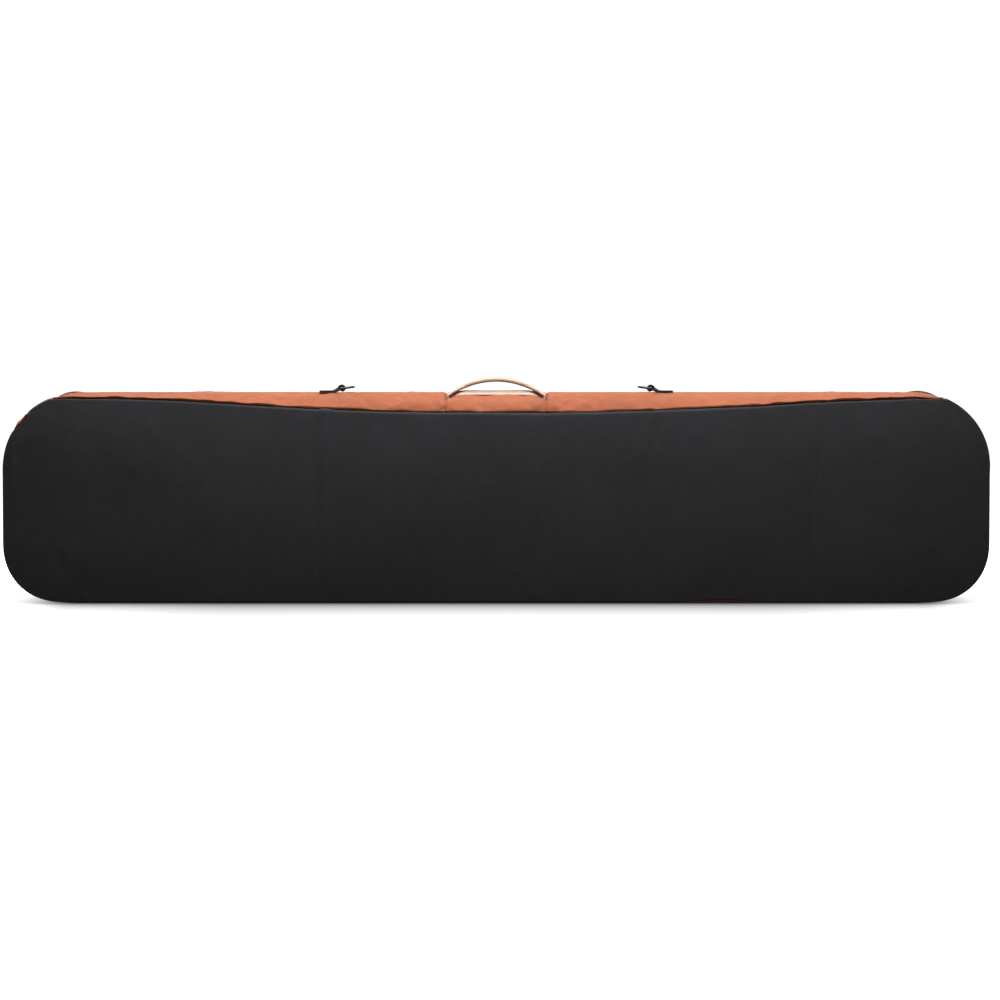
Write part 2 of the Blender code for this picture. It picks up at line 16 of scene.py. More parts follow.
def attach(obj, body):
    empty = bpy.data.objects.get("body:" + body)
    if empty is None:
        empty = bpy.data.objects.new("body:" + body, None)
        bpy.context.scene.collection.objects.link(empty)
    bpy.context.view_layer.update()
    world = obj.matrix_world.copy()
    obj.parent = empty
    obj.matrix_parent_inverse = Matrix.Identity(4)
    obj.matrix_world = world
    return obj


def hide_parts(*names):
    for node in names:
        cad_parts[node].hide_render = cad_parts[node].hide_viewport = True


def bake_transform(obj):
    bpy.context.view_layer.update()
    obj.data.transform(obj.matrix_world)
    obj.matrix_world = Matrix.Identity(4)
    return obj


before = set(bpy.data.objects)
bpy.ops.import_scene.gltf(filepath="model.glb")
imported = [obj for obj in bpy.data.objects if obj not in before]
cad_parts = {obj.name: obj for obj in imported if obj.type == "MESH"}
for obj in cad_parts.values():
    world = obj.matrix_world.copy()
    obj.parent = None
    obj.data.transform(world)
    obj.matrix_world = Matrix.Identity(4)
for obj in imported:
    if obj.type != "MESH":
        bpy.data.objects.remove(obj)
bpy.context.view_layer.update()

# ---------------------------------------------------------------- dimensions

LENGTH = 1.600
HEIGHT = 0.340
TOP_RADIUS = 0.126
BOTTOM_RADIUS = 0.097
HALF = LENGTH / 2
TOP_STRAIGHT = HALF - TOP_RADIUS
BOTTOM_STRAIGHT = HALF - BOTTOM_RADIUS
SIDE_STRAIGHT = HEIGHT - TOP_RADIUS - BOTTOM_RADIUS
S_LOW = BOTTOM_STRAIGHT
S_SIDE = S_LOW + BOTTOM_RADIUS * math.pi / 2
S_HIGH = S_SIDE + SIDE_STRAIGHT
S_TOP = S_HIGH + TOP_RADIUS * math.pi / 2
S_HALF = S_TOP + TOP_STRAIGHT
S_TOTAL = 2 * S_HALF

SEAM_Y = 0.070
SEAM_X = 0.082
TAPE_INSET = 0.0115
TRIM_Y = 0.002
GUSSET_FRONT = 0.034
MIDDLE_LINE = 0.62
HANDLE_HALF = 0.079
HANDLE_DIP = 0.0092
RING_X = 0.2530
RING_Z = 0.0065
RING_RUN = 0.092
BACK_SWELL = 0.0100
FRONT_SWELL = 0.0085
ZIP_RISE = 0.0122
HEM_RISE = 0.0022
STRAP_Y = TRIM_Y - 0.002
COVER = 0.0009


# ---------------------------------------------------------------- noise and curves


def smooth(value):
    value = np.clip(value, 0.0, 1.0)
    return value * value * (3 - 2 * value)


def bell(value, place, width):
    """A smooth hump: 1 at the place, and fading over the width to both sides."""
    return np.exp(-(((value - place) / width) ** 2))


def noise(u, v, size, seed):
    """Smooth noise from -1 to 1 that changes over the given size, the same on every run."""
    table = np.random.RandomState(seed).uniform(-1, 1, (64, 64))
    u, v = np.asarray(u) / size + 17.3, np.asarray(v) / size + 9.1
    iu, iv = np.floor(u).astype(int), np.floor(v).astype(int)
    fu, fv = smooth(u - iu), smooth(v - iv)

    def at(a, b):
        return table[(iu + a) % 64, (iv + b) % 64]

    low = at(0, 0) * (1 - fu) + at(1, 0) * fu
    high = at(0, 1) * (1 - fu) + at(1, 1) * fu
    return low * (1 - fv) + high * fv


def rounded(points, times):
    """Cuts the corners of a line of control points, along the first axis, keeping its ends."""
    for _ in range(times):
        a, b = points[:-1], points[1:]
        cut = np.stack([a * 0.75 + b * 0.25, a * 0.25 + b * 0.75], axis=1)
        cut = cut.reshape((-1,) + points.shape[1:])
        points = np.concatenate([points[:1], cut, points[-1:]])
    return points


# ---------------------------------------------------------------- the bag's outline


def outline(s):
    """x, z and the outward direction at distances s, from the bottom's middle by the left end."""
    s = np.mod(np.asarray(s, float), S_TOTAL)
    right = s > S_HALF
    s = np.where(right, S_TOTAL - s, s)
    low = (s - S_LOW) / BOTTOM_RADIUS
    high = (s - S_HIGH) / TOP_RADIUS
    zone = [s <= S_LOW, s <= S_SIDE, s <= S_HIGH, s <= S_TOP]
    zero, one = np.zeros_like(s), np.ones_like(s)
    nx = np.select(zone, [zero, -np.sin(low), -one, -np.cos(high)], zero)
    nz = np.select(zone, [-one, -np.cos(low), zero, np.sin(high)], one)
    x = np.select(
        zone,
        [-s, -BOTTOM_STRAIGHT + BOTTOM_RADIUS * nx, -HALF * one, -TOP_STRAIGHT + TOP_RADIUS * nx],
        -TOP_STRAIGHT + s - S_TOP,
    )
    z = np.select(
        zone,
        [zero, BOTTOM_RADIUS * (1 + nz), BOTTOM_RADIUS + s - S_SIDE, HEIGHT - TOP_RADIUS * (1 - nz)],
        HEIGHT * one,
    )
    turn = 2 * np.abs(nx * nz)
    swell = np.where(nz > 0, np.where(right, 0.0044, 0.0020) * turn**0.8, 0.0030 * turn**1.5)
    x, z = x + nx * swell, z + nz * swell
    flip = np.where(right, -1.0, 1.0)
    return x * flip, z, nx * flip, nz


def back_drop(x, nz):
    """How far the back seam lies inside the outline. It sits a little lower right of the handle.

    In the top corners the seam runs straight on until it meets the outline.
    """
    reach = np.where(x > 0, 0.74, 0.66)
    arc = 0.5 + 0.5 * np.cos(np.pi * np.minimum(1.0, np.abs(x) / reach) ** 1.25)
    top = 0.0090 + 0.0245 * arc
    top = top + 0.0007 * noise(x, x * 0, 0.09, 5) * smooth(arc * 3)
    top = top + 0.0022 * bell(x, 0.715, 0.030)
    top = top - 0.0016 * bell(x, 0.672, 0.010)
    corner = np.maximum(top - TOP_RADIUS * 0.92 * (1 - nz), 0.0)
    peep = 0.0062 * bell(x, -0.772, 0.008) * smooth((nz - 0.2) / 0.2)
    low = 0.0004 + 0.0010 * smooth(-nz)
    low = low + 0.0038 * bell(x, 0.365, 0.055) * smooth(-nz * 4 - 3)
    return low + np.where(nz > 0, corner, 0.0) + peep


def roll_inset(y, drop, wide):
    """Depth of the gusset's surface at y, where it rolls from the back seam up to the crest."""
    share = 1 - np.clip((y + SEAM_Y) / wide, 0.0, 1.0)
    return drop * (1 - np.sqrt(1 - share**2))


def roll_width(nz):
    return 0.012 + 0.038 * smooth(nz)


def lid_inset(nz):
    return 0.0020 + 0.0025 * smooth(0.5 + 0.5 * nz)


def sweep_points(s, profile):
    """Points of a surface. profile holds (y, inset) rows, each a pair of arrays over s."""
    x, z, nx, nz = outline(s)
    y, inset = profile[:, 0, :], profile[:, 1, :]
    return np.stack([x - nx * inset, y, z - nz * inset], axis=-1)


def rows_of(controls, s, times=3):
    """Control points, each (y, inset) as numbers or arrays over s, rounded into many rows."""
    full = np.array([[np.broadcast_to(y, s.shape), np.broadcast_to(i, s.shape)] for y, i in controls])
    return rounded(full, times)


def outward_of(s):
    """The outline's outward direction at distances s, as one row of a grid."""
    _, _, nx, nz = outline(s)
    return np.stack([nx, 0 * nx, nz], axis=-1)[None]


def ring_inset(edge):
    """Inset of a ring that lies a run inside a panel's edge, and evens out on its way in."""
    return lambda run: edge * (1 - run / RING_RUN) + run


def grid_normals(points):
    along = np.gradient(points, axis=1)
    across = np.gradient(points, axis=0)
    normal = np.cross(along, across)
    return normal / np.maximum(np.linalg.norm(normal, axis=-1, keepdims=True), 1e-12)


def lengths(points, axis):
    """Distance along a grid's axis from its first row or column."""
    step = np.linalg.norm(np.diff(points, axis=axis), axis=-1)
    pad = [(0, 0), (0, 0)]
    pad[axis] = (1, 0)
    return np.cumsum(np.pad(step, pad), axis=axis)


# ---------------------------------------------------------------- meshes


def new_object(name, verts, faces, material, uvs=None):
    mesh = bpy.data.meshes.new(name)
    mesh.from_pydata(np.asarray(verts).tolist(), [], [list(face) for face in faces])
    mesh.validate()
    if uvs is not None:
        layer = mesh.uv_layers.new(name="cloth")
        index = np.zeros(len(mesh.loops), int)
        mesh.loops.foreach_get("vertex_index", index)
        layer.data.foreach_set("uv", np.asarray(uvs, np.float32)[index].ravel())
    mesh.shade_smooth()
    mesh.materials.append(material)
    obj = bpy.data.objects.new(name, mesh)
    bpy.context.scene.collection.objects.link(obj)
    return obj


def grid_faces(rows, columns, close_columns=False, close_rows=False):
    found = []
    for r in range(rows if close_rows else rows - 1):
        for c in range(columns if close_columns else columns - 1):
            a, b = r * columns + c, r * columns + (c + 1) % columns
            down = columns * ((r + 1) % rows - r)
            found.append((a, b, b + down, a + down))
    return found


def facing_out(obj):
    """Makes a mesh's normals consistent, and outward where it is closed."""
    bm = bmesh.new()
    bm.from_mesh(obj.data)
    bmesh.ops.recalc_face_normals(bm, faces=bm.faces)
    bm.to_mesh(obj.data)
    bm.free()
    return obj


def thicken(obj, thickness):
    modifier = obj.modifiers.new("thickness", "SOLIDIFY")
    modifier.thickness = thickness
    modifier.offset = -1.0


def piece(obj, body, nodes):
    """Hangs a piece on its CAD body and hides the CAD parts that it stands for."""
    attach(obj, body)
    if nodes:
        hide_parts(*nodes)


def cloth_grid(name, points, material, thickness, bump=None, outward=None):
    """A cloth surface from a grid of points, moved along its normals by bump."""
    normal = grid_normals(points)
    if outward is not None and (normal * outward).sum() < 0:
        normal = -normal
    if bump is not None:
        points = points + normal * bump[..., None]
    rows, columns = points.shape[:2]
    u, v = lengths(points, 1), lengths(points, 0)
    uvs = np.stack([np.broadcast_to(u[rows // 2], u.shape), v], axis=-1)
    obj = new_object(name, points.reshape(-1, 3), grid_faces(rows, columns), material,
                     uvs.reshape(-1, 2))
    mesh = obj.data
    middle = len(mesh.polygons) // 2
    way = np.array(mesh.polygons[middle].normal)
    r, c = divmod(mesh.polygons[middle].vertices[0], columns)
    if np.dot(way, normal[r, c]) < 0:
        mesh.flip_normals()
    thicken(obj, thickness)
    return obj


# ---------------------------------------------------------------- materials


class Nodes:
    """Short ways to write a material's nodes."""

    def __init__(self, name):
        self.material = bpy.data.materials.new(name)
        self.material.use_nodes = True
        self.tree = self.material.node_tree
        self.shader = self.tree.nodes["Principled BSDF"]

    def put(self, socket, value):
        """Gives an input a number or a colour, or links it. None leaves it alone."""
        if isinstance(value, (int, float)):
            socket.default_value = value
        elif isinstance(value, tuple):
            socket.default_value = (*value, 1)
        elif value is not None:
            self.tree.links.new(value, socket)

    def new(self, kind, inputs=None, **settings):
        node = self.tree.nodes.new(kind)
        for key, value in settings.items():
            setattr(node, key, value)
        for key, value in (inputs or {}).items():
            self.put(node.inputs[key], value)
        return node

    def math(self, operation, a, b=None, c=None):
        return self.new("ShaderNodeMath", {0: a, 1: b, 2: c}, operation=operation).outputs[0]

    def add(self, a, b):
        return self.math("ADD", a, b)

    def times(self, a, b):
        return self.math("MULTIPLY", a, b)

    def over(self, a, b):
        return self.math("DIVIDE", a, b)

    def arch(self, value):
        """Repeated round arches, one for each whole number."""
        return self.math("ABSOLUTE", self.math("SINE", self.times(value, math.pi)))

    def finish(self, inputs):
        """Fills the shader's inputs and gives the material."""
        for name, value in inputs.items():
            self.put(self.shader.inputs[name], value)
        return self.material

    def noise(self, vector, scale, detail=3.0, roughness=0.55):
        inputs = {"Vector": vector, "Scale": scale, "Detail": detail, "Roughness": roughness}
        return self.new("ShaderNodeTexNoise", inputs).outputs["Fac"]

    def ramp(self, factor, low, high, start=0.35, end=0.65):
        node = self.new("ShaderNodeValToRGB", {"Fac": factor})
        for element, place, color in zip(node.color_ramp.elements, (start, end), (low, high)):
            element.position, element.color = place, (*color, 1)
        return node.outputs["Color"]

    def mix(self, factor, a, b, blend="MIX"):
        inputs = {0: factor, 6: a, 7: b}
        return self.new("ShaderNodeMix", inputs, data_type="RGBA", blend_type=blend).outputs[2]

    def bump(self, height, strength, distance, normal=None):
        inputs = {"Strength": strength, "Distance": distance, "Height": height, "Normal": normal}
        return self.new("ShaderNodeBump", inputs).outputs["Normal"]

    def cloth_uv(self):
        uv = self.new("ShaderNodeUVMap", uv_map="cloth").outputs["UV"]
        split = self.new("ShaderNodeSeparateXYZ", {0: uv})
        return uv, split.outputs["X"], split.outputs["Y"]

    def object_space(self):
        return self.new("ShaderNodeTexCoord").outputs["Object"]


def plain_weave(nodes, u, v, pitch):
    """Height of a plain weave: yarns along u and v that pass over each other in turn."""
    a, b = nodes.over(u, pitch), nodes.over(v, pitch)
    arch_a = nodes.arch(a)
    arch_b = nodes.arch(b)
    cells = nodes.add(nodes.math("FLOOR", a), nodes.math("FLOOR", b))
    over = nodes.math("GREATER_THAN", nodes.math("FLOORED_MODULO", cells, 2.0), 0.5)
    under = nodes.math("SUBTRACT", 1.0, over)
    one = nodes.times(over, arch_a)
    two = nodes.times(under, arch_b)
    return nodes.add(one, two)


def woven(name, color, pitch=0.0011, shade=0.16, roughness=0.86, sheen=0.25, patch=0.12,
          depth=0.00012, sheen_tint=(1, 1, 1), dust=0.0):
    """Woven fabric: weave, uneven yarns, broad patches of tone, and a soft sheen. The weave has
    painted shade in its hollows and a painted highlight on its crowns.
    """
    nodes = Nodes(name)
    uv, u, v = nodes.cloth_uv()
    place = nodes.object_space()
    height = plain_weave(nodes, u, v, pitch)
    yarn = nodes.noise(uv, 420.0, 2.0)
    broad = nodes.noise(place, 5.5, 4.0)
    fine = nodes.noise(place, 60.0, 4.0)
    # Painted light: the weave's hollows are painted darker and its crowns lighter than the yarn's own
    # colour.
    painted_valley_shade = tuple(c * (1 - shade) for c in color)
    painted_crown_highlight = tuple(min(1.0, c * (1 + shade * 0.6)) for c in color)
    tone = nodes.ramp(height, painted_valley_shade, painted_crown_highlight, 0.05, 0.95)
    low, high = 1 - patch, 1 + patch
    tone = nodes.mix(1.0, tone, nodes.ramp(broad, (low,) * 3, (high,) * 3, 0.3, 0.7), "MULTIPLY")
    low, high = 1 - patch * 0.6, 1 + patch * 0.6
    tone = nodes.mix(1.0, tone, nodes.ramp(fine, (low,) * 3, (high,) * 3, 0.3, 0.7), "MULTIPLY")
    if dust:
        specks = nodes.ramp(nodes.noise(place, 900.0, 2.0), (0, 0, 0), (1, 1, 1), 0.66, 0.74)
        tone = nodes.mix(nodes.times(specks, dust), tone, (0.35, 0.33, 0.31))
    rough = nodes.add(nodes.times(yarn, 0.16), roughness - 0.08)
    grain = nodes.add(height, nodes.times(yarn, 0.6))
    normal = nodes.bump(grain, 0.45, depth)
    normal = nodes.bump(fine, 0.22, 0.0016, normal)
    return nodes.finish({"Base Color": tone, "Roughness": rough, "Normal": normal,
                         "Sheen Weight": sheen, "Sheen Roughness": 0.5,
                         "Sheen Tint": sheen_tint, "Specular IOR Level": 0.25})


def webbing(name, color, pitch=0.0022, ribs=0.0030, shade=0.22, roughness=0.8, sheen=0.3,
            depth=0.00035):
    """Flat webbing: chevron ribs along its length, a denser edge and fuzz. The ribs' hollows have
    painted shade.
    """
    nodes = Nodes(name)
    uv, u, v = nodes.cloth_uv()
    place = nodes.object_space()
    across = nodes.over(v, ribs)
    side = nodes.math("ABSOLUTE", nodes.math("SUBTRACT", nodes.math("FRACT", across), 0.5))
    slanted = nodes.add(nodes.over(u, pitch), nodes.times(side, 1.4))
    wave = nodes.arch(slanted)
    rib = nodes.math("SUBTRACT", 1.0, nodes.times(side, 1.1))
    height = nodes.times(nodes.math("POWER", wave, 0.7), rib)
    fuzz = nodes.noise(uv, 700.0, 3.0)
    broad = nodes.noise(place, 30.0, 4.0)
    # Painted shade: the ribs' hollows are painted darker than the webbing's own colour.
    painted_valley_shade = tuple(c * (1 - shade) for c in color)
    tone = nodes.ramp(height, painted_valley_shade, color, 0.1, 0.8)
    tone = nodes.mix(1.0, tone, nodes.ramp(broad, (0.90,) * 3, (1.06,) * 3, 0.3, 0.7), "MULTIPLY")
    rough = nodes.add(nodes.times(fuzz, 0.2), roughness - 0.1)
    normal = nodes.bump(height, 0.6, depth)
    normal = nodes.bump(fuzz, 0.3, 0.0002, normal)
    return nodes.finish({"Base Color": tone, "Roughness": rough, "Normal": normal,
                         "Sheen Weight": sheen, "Specular IOR Level": 0.25})


def foam_material():
    nodes = Nodes("foam_open_cell")
    place = nodes.object_space()
    cells = nodes.new("ShaderNodeTexVoronoi", {"Scale": 900.0, "Vector": place})
    # Painted shade: the cells' pits are painted darker than the foam around them.
    tone = nodes.ramp(cells.outputs["Distance"], (0.42, 0.42, 0.40), (0.70, 0.70, 0.67), 0.0, 0.5)
    broad = nodes.ramp(nodes.noise(place, 14.0), (0.9, 0.89, 0.86), (1, 1, 1), 0.3, 0.7)
    return nodes.finish({"Base Color": nodes.mix(1.0, tone, broad, "MULTIPLY"), "Roughness": 0.95,
                         "Normal": nodes.bump(cells.outputs["Distance"], 0.5, 0.0004)})


def metal_material(name, color, roughness, metallic=1.0, worn=(0.35, 0.34, 0.33)):
    """Dark plated or enamelled metal with fine scratches, finger marks and worn high spots."""
    nodes = Nodes(name)
    place = nodes.object_space()
    scratch = nodes.noise(place, 900.0, 5.0, 0.7)
    smudge = nodes.noise(place, 130.0, 3.0)
    wear = nodes.ramp(nodes.noise(place, 420.0, 4.0, 0.65), (0, 0, 0), (1, 1, 1), 0.60, 0.72)
    tone = nodes.mix(nodes.times(wear, 0.5), color, worn)
    rough = nodes.add(roughness - 0.1, nodes.times(smudge, 0.25))
    return nodes.finish({"Base Color": tone, "Metallic": metallic, "Roughness": rough,
                         "Normal": nodes.bump(scratch, 0.12, 0.00008)})


def nylon_material(name, color, roughness=0.42):
    nodes = Nodes(name)
    place = nodes.object_space()
    tone = nodes.ramp(nodes.noise(place, 300.0), tuple(c * 0.75 for c in color), color, 0.3, 0.7)
    rough = nodes.add(roughness - 0.08, nodes.times(nodes.noise(place, 500.0), 0.2))
    return nodes.finish({"Base Color": tone, "Roughness": rough,
                         "Normal": nodes.bump(nodes.noise(place, 1500.0), 0.2, 0.00006)})


def floor_material():
    """White paper with painted light and shade. A painted contact shadow darkens it close to the bag,
    and painted light brightens it towards the bag's ends. It glows where the lights do not reach, and
    under the bag's rounded corners, where the glow paints out their shade.
    """
    nodes = Nodes("floor_paper_painted_shadow")
    place = nodes.object_space()
    split = nodes.new("ShaderNodeSeparateXYZ", {0: place})
    away_x = nodes.math("ABSOLUTE", split.outputs["X"])
    away_y = nodes.math("ABSOLUTE", split.outputs["Y"])

    def rise(value, start, end, low=0.0, high=1.0, kind="SMOOTHSTEP"):
        inputs = {"Value": value, 1: start, 2: end, 3: low, 4: high}
        return nodes.new("ShaderNodeMapRange", inputs, interpolation_type=kind).outputs[0]

    # Painted contact shadow: the paper is darker close to the bag, darkest right at its foot.
    near = rise(away_y, 0.09, 0.50, 0.32, 0.90, "LINEAR")
    near = nodes.times(near, rise(away_y, 0.070, 0.125, 0.30, 1.0, "LINEAR"))
    # Painted light: the paper is brighter towards the bag's ends, against their shade.
    ends = rise(away_x, 0.40, 0.74, 1.0, 1.5)
    grain = nodes.math("MULTIPLY_ADD", nodes.noise(place, 3.0), 0.02, 0.99)
    tone = nodes.times(nodes.times(near, ends), grain)
    # The glow whitens the far floor, and paints out the shade under the bag's rounded corners.
    glow = nodes.math("MAXIMUM", rise(away_y, 0.50, 1.0), rise(away_x, 0.68, 0.80))
    return nodes.finish({"Base Color": tone, "Roughness": 0.95, "Specular IOR Level": 0.0,
                         "Emission Color": (1, 1, 1), "Emission Strength": glow})


def wall_material():
    nodes = Nodes("studio_wall")
    tone = nodes.ramp(nodes.noise(nodes.object_space(), 3.0), (0.98,) * 3, (1, 1, 1))
    return nodes.finish({"Emission Color": tone, "Emission Strength": 1.1})


BLACK = (0.030, 0.030, 0.033)
RUST = (0.408, 0.125, 0.060)
TAN = (0.86, 0.66, 0.52)
MAT = {
    "back": woven("back_fabric_weave", BLACK, shade=0.35, sheen=0.10, patch=0.10, roughness=0.90),
    "gusset": woven("gusset_fabric_weave", RUST, shade=0.14, sheen=0.08, patch=0.12,
                    sheen_tint=(1.0, 0.8, 0.7)),
    "front": woven("front_fabric_weave", RUST, shade=0.14, sheen=0.08, patch=0.07,
                   sheen_tint=(1.0, 0.8, 0.7)),
    "lining": woven("lining_weave", (0.075, 0.077, 0.085), pitch=0.0006, shade=0.25, sheen=0.12,
                    roughness=0.70, depth=0.00006),
    "binding": woven("binding_grosgrain", (0.025, 0.025, 0.027), pitch=0.0013, shade=0.4),
    "tape": woven("zip_tape_knit", (0.022, 0.022, 0.024), pitch=0.0008, shade=0.4),
    "tan": webbing("tan_webbing_weave", TAN),
    # Painted shade: the brown strip under the handle's grip.
    "brown": webbing("handle_underside_shade_weave", (0.36, 0.19, 0.13), shade=0.3, roughness=0.7),
    "black_webbing": webbing("black_webbing_weave", (0.035, 0.035, 0.042), shade=0.45),
    "foam": foam_material(),
    "ring": metal_material("ring_metal", (0.075, 0.075, 0.08), 0.40),
    "slider": metal_material("slider_metal", (0.06, 0.06, 0.065), 0.38),
    "coil": nylon_material("zip_coil_nylon", (0.030, 0.030, 0.033)),
    "thread_black": nylon_material("thread_black", (0.045, 0.045, 0.050), 0.6),
    "thread_rust": nylon_material("thread_rust", (0.48, 0.15, 0.08), 0.6),
    "thread_tan": nylon_material("thread_tan", (0.66, 0.48, 0.36), 0.6),
}


# ---------------------------------------------------------------- panels


CREASES = ((-0.2905, 2.4), (-0.672, 1.0), (0.083, 1.2), (0.151, 1.2), (0.248, 1.0), (0.53, 1.0))


def panel_chains(count):
    """Distances along the outline over the top and under the bottom, from end to end."""
    side = (S_SIDE + S_HIGH) / 2
    way = np.linspace(0, 1, 4001)
    x = outline(side + (S_TOTAL - 2 * side) * way)[0]
    close = 1.0 + 0 * way
    for place, more in CREASES:
        close += more * bell(x, place, 0.016)
    run = np.cumsum(close) - close[0]
    share = np.interp(np.linspace(0, 1, count), run / run[-1], way)
    return side + (S_TOTAL - 2 * side) * share, side * (1 - 2 * share), share


def points_of(mesh, kind="co"):
    values = np.zeros(len(mesh.vertices) * 3)
    mesh.vertices.foreach_get(kind, values)
    return values.reshape(-1, 3)


def move_to(mesh, points):
    mesh.vertices.foreach_set("co", points.ravel())
    mesh.update()


def shift(obj, bump):
    """Moves every point of a mesh along its normal by bump(positions)."""
    co, normal = points_of(obj.data), points_of(obj.data, "normal")
    move_to(obj.data, co + normal * bump(co)[:, None])


def panel_mesh(name, controls, material, bump, thickness, count, fill_rows=14, way=-1, settle=None):
    """A padded panel: rings that follow the outline in from the seam, then rings that close on a
    line along the panel's middle.

    controls(x, nz) gives (y, inset) control points from the seam in to the last outline ring.
    settle(obj, points of a ring) lets the cover settle as cloth; it then gets one subdivision.
    """
    top, bottom, along = panel_chains(count)
    loop = np.concatenate([top, bottom[-2:0:-1]])
    x, _, _, nz = outline(loop)
    rows = rows_of(controls(x, nz), loop, 2 if settle else 3)
    ring_points = sweep_points(loop, rows)
    rings, size = ring_points.shape[:2]
    last = ring_points[-1]
    share = np.concatenate([along, along[-2:0:-1]])
    middle = last.copy()
    turn = np.interp(-0.5, x[:count], along)
    middle[:, 0] = np.interp(share, (0, turn, 1 - turn, 1), (-MIDDLE_LINE, -0.5, 0.5, MIDDLE_LINE))
    middle[:, 2] = last[:, 2].mean()
    steps = np.linspace(0, 1, fill_rows + 1)[1:-1]
    inner = last[None] * (1 - steps)[:, None, None] + middle[None] * steps[:, None, None]
    points = np.concatenate([ring_points, inner]).reshape(-1, 3)
    faces = grid_faces(rings + len(steps), size, close_columns=True)
    base, start = (rings + len(steps) - 1) * size, len(points)
    points = np.concatenate([points, middle[:count]])
    for k in range(size):
        n = (k + 1) % size
        a, b = [start + (i if i < count else size - i) for i in (k, n)]
        faces.append((base + k, base + n, b, a))
    obj = new_object(name, points, faces, material, points[:, [0, 2]])
    facing_out(obj)
    mesh = obj.data
    if sum(p.normal.y * p.area for p in mesh.polygons) * way < 0:
        mesh.flip_normals()
    shift(obj, bump)
    if settle:
        settle(obj, size)
        subdivide(obj)
    thicken(obj, thickness)
    return obj


def billow(obj, size, gather, reach, frames=16):
    """Lets a sewn cover settle as cloth: held along its seam, cut a little too long beside it, and
    lightly blown up. The way each point may move is kept short."""
    mesh = obj.data
    count = len(mesh.vertices)
    row = np.arange(count) // size
    pinned = 1 - smooth((row - 12) / 10)
    before, normal = points_of(mesh), points_of(mesh, "normal")
    gathered = bell(inside(before), 0.045, 0.035)
    pin = obj.vertex_groups.new(name="pinned")
    full = obj.vertex_groups.new(name="gathered")
    for i in range(count):
        if pinned[i] > 0:
            pin.add([i], float(pinned[i]), "REPLACE")
        full.add([i], float(gathered[i]), "REPLACE")
    cloth = obj.modifiers.new("cloth", "CLOTH")
    cloth.point_cache.frame_start, cloth.point_cache.frame_end = 1, frames
    for key, value in dict(
        quality=5, mass=0.12, tension_stiffness=22, compression_stiffness=22, shear_stiffness=8,
        bending_stiffness=0.15, air_damping=4, vertex_group_mass="pinned", pin_stiffness=1,
        vertex_group_shrink="gathered", shrink_min=-0.001, shrink_max=-gather,
        use_pressure=True, uniform_pressure_force=0.35,
    ).items():
        setattr(cloth.settings, key, value)
    cloth.settings.effector_weights.gravity = 0
    scene = bpy.context.scene
    for number in range(1, frames + 1):
        scene.frame_set(number)
    graph = bpy.context.evaluated_depsgraph_get()
    move = points_of(obj.evaluated_get(graph).data) - before
    rise = (move * normal).sum(axis=1)
    out = np.clip(rise, -0.4 * reach, reach)
    slide = move - normal * rise[:, None]
    far = np.maximum(np.linalg.norm(slide, axis=1), 1e-9)
    slide *= np.minimum(1.0, 0.5 * reach / far)[:, None]
    obj.modifiers.remove(cloth)
    obj.vertex_groups.clear()
    scene.frame_set(1)
    move_to(mesh, before + normal * out[:, None] + slide)


def subdivide(obj):
    modifier = obj.modifiers.new("finer", "SUBSURF")
    modifier.levels = modifier.render_levels = 1


def inside(points):
    """How far points lie inside the bag's outline, in the XZ plane."""
    x, z = np.abs(points[:, 0]), points[:, 2]
    high, low = z > HEIGHT - TOP_RADIUS, z < BOTTOM_RADIUS
    radius = np.where(high, TOP_RADIUS, np.where(low, BOTTOM_RADIUS, 0.0))
    dz = np.where(high, z - (HEIGHT - TOP_RADIUS), np.where(low, BOTTOM_RADIUS - z, 0.0))
    dx = x - (HALF - radius)
    corner = radius - np.hypot(np.maximum(dx, 0), dz)
    straight = np.minimum(HALF - x, np.minimum(z, HEIGHT - z))
    return np.where((dx > 0) & (radius > 0), corner, straight)


def back_controls(x, nz):
    seam = back_drop(x, nz)
    ring = ring_inset(seam)
    rim = -0.0004 + (0.0014 + 0.0012 * smooth(seam / 0.016)) * smooth(nz * 2)
    edge = seam + rim
    controls = [(-0.0622, edge + 0.0004), (-0.0655, edge + 0.0002), (-0.0700, edge)]
    controls += [(-0.0718, edge + 0.0002), (-0.0724, edge + 0.0010)]
    controls += [(-0.0725, (edge + ring(0.014)) / 2), (-0.0727, ring(0.014))]
    return controls + [(-0.0735, ring(0.030)), (-0.0745, ring(0.055)), (-0.0750, ring(0.088))]


def belly(deep, height):
    """The padding's swell, from the seam to the middle of a panel."""
    return height * (1 - (1 - np.clip(deep / (HEIGHT / 2), 0, 1)) ** 2)


def swell(co, height, edge, sizes, seed):
    """The padding's swell, with broad uneven hollows away from the seam."""
    x, z = co[:, 0], co[:, 2]
    deep = inside(co)
    broad = 0.9 * noise(x, z * 1.6, sizes[0], seed) + 0.45 * noise(x, z, sizes[1], seed + 1)
    return x, z, deep, belly(deep, height) + 0.0009 * smooth((deep - edge) / 0.05) * broad


def back_bump(co):
    x, z, deep, bump = swell(co, BACK_SWELL, 0.010, (0.22, 0.09), 11)
    top_edge = bell(deep, 0.03, 0.022) * (z > 0.2)
    return bump + 0.0004 * top_edge * noise(x, z, 0.03, 13)


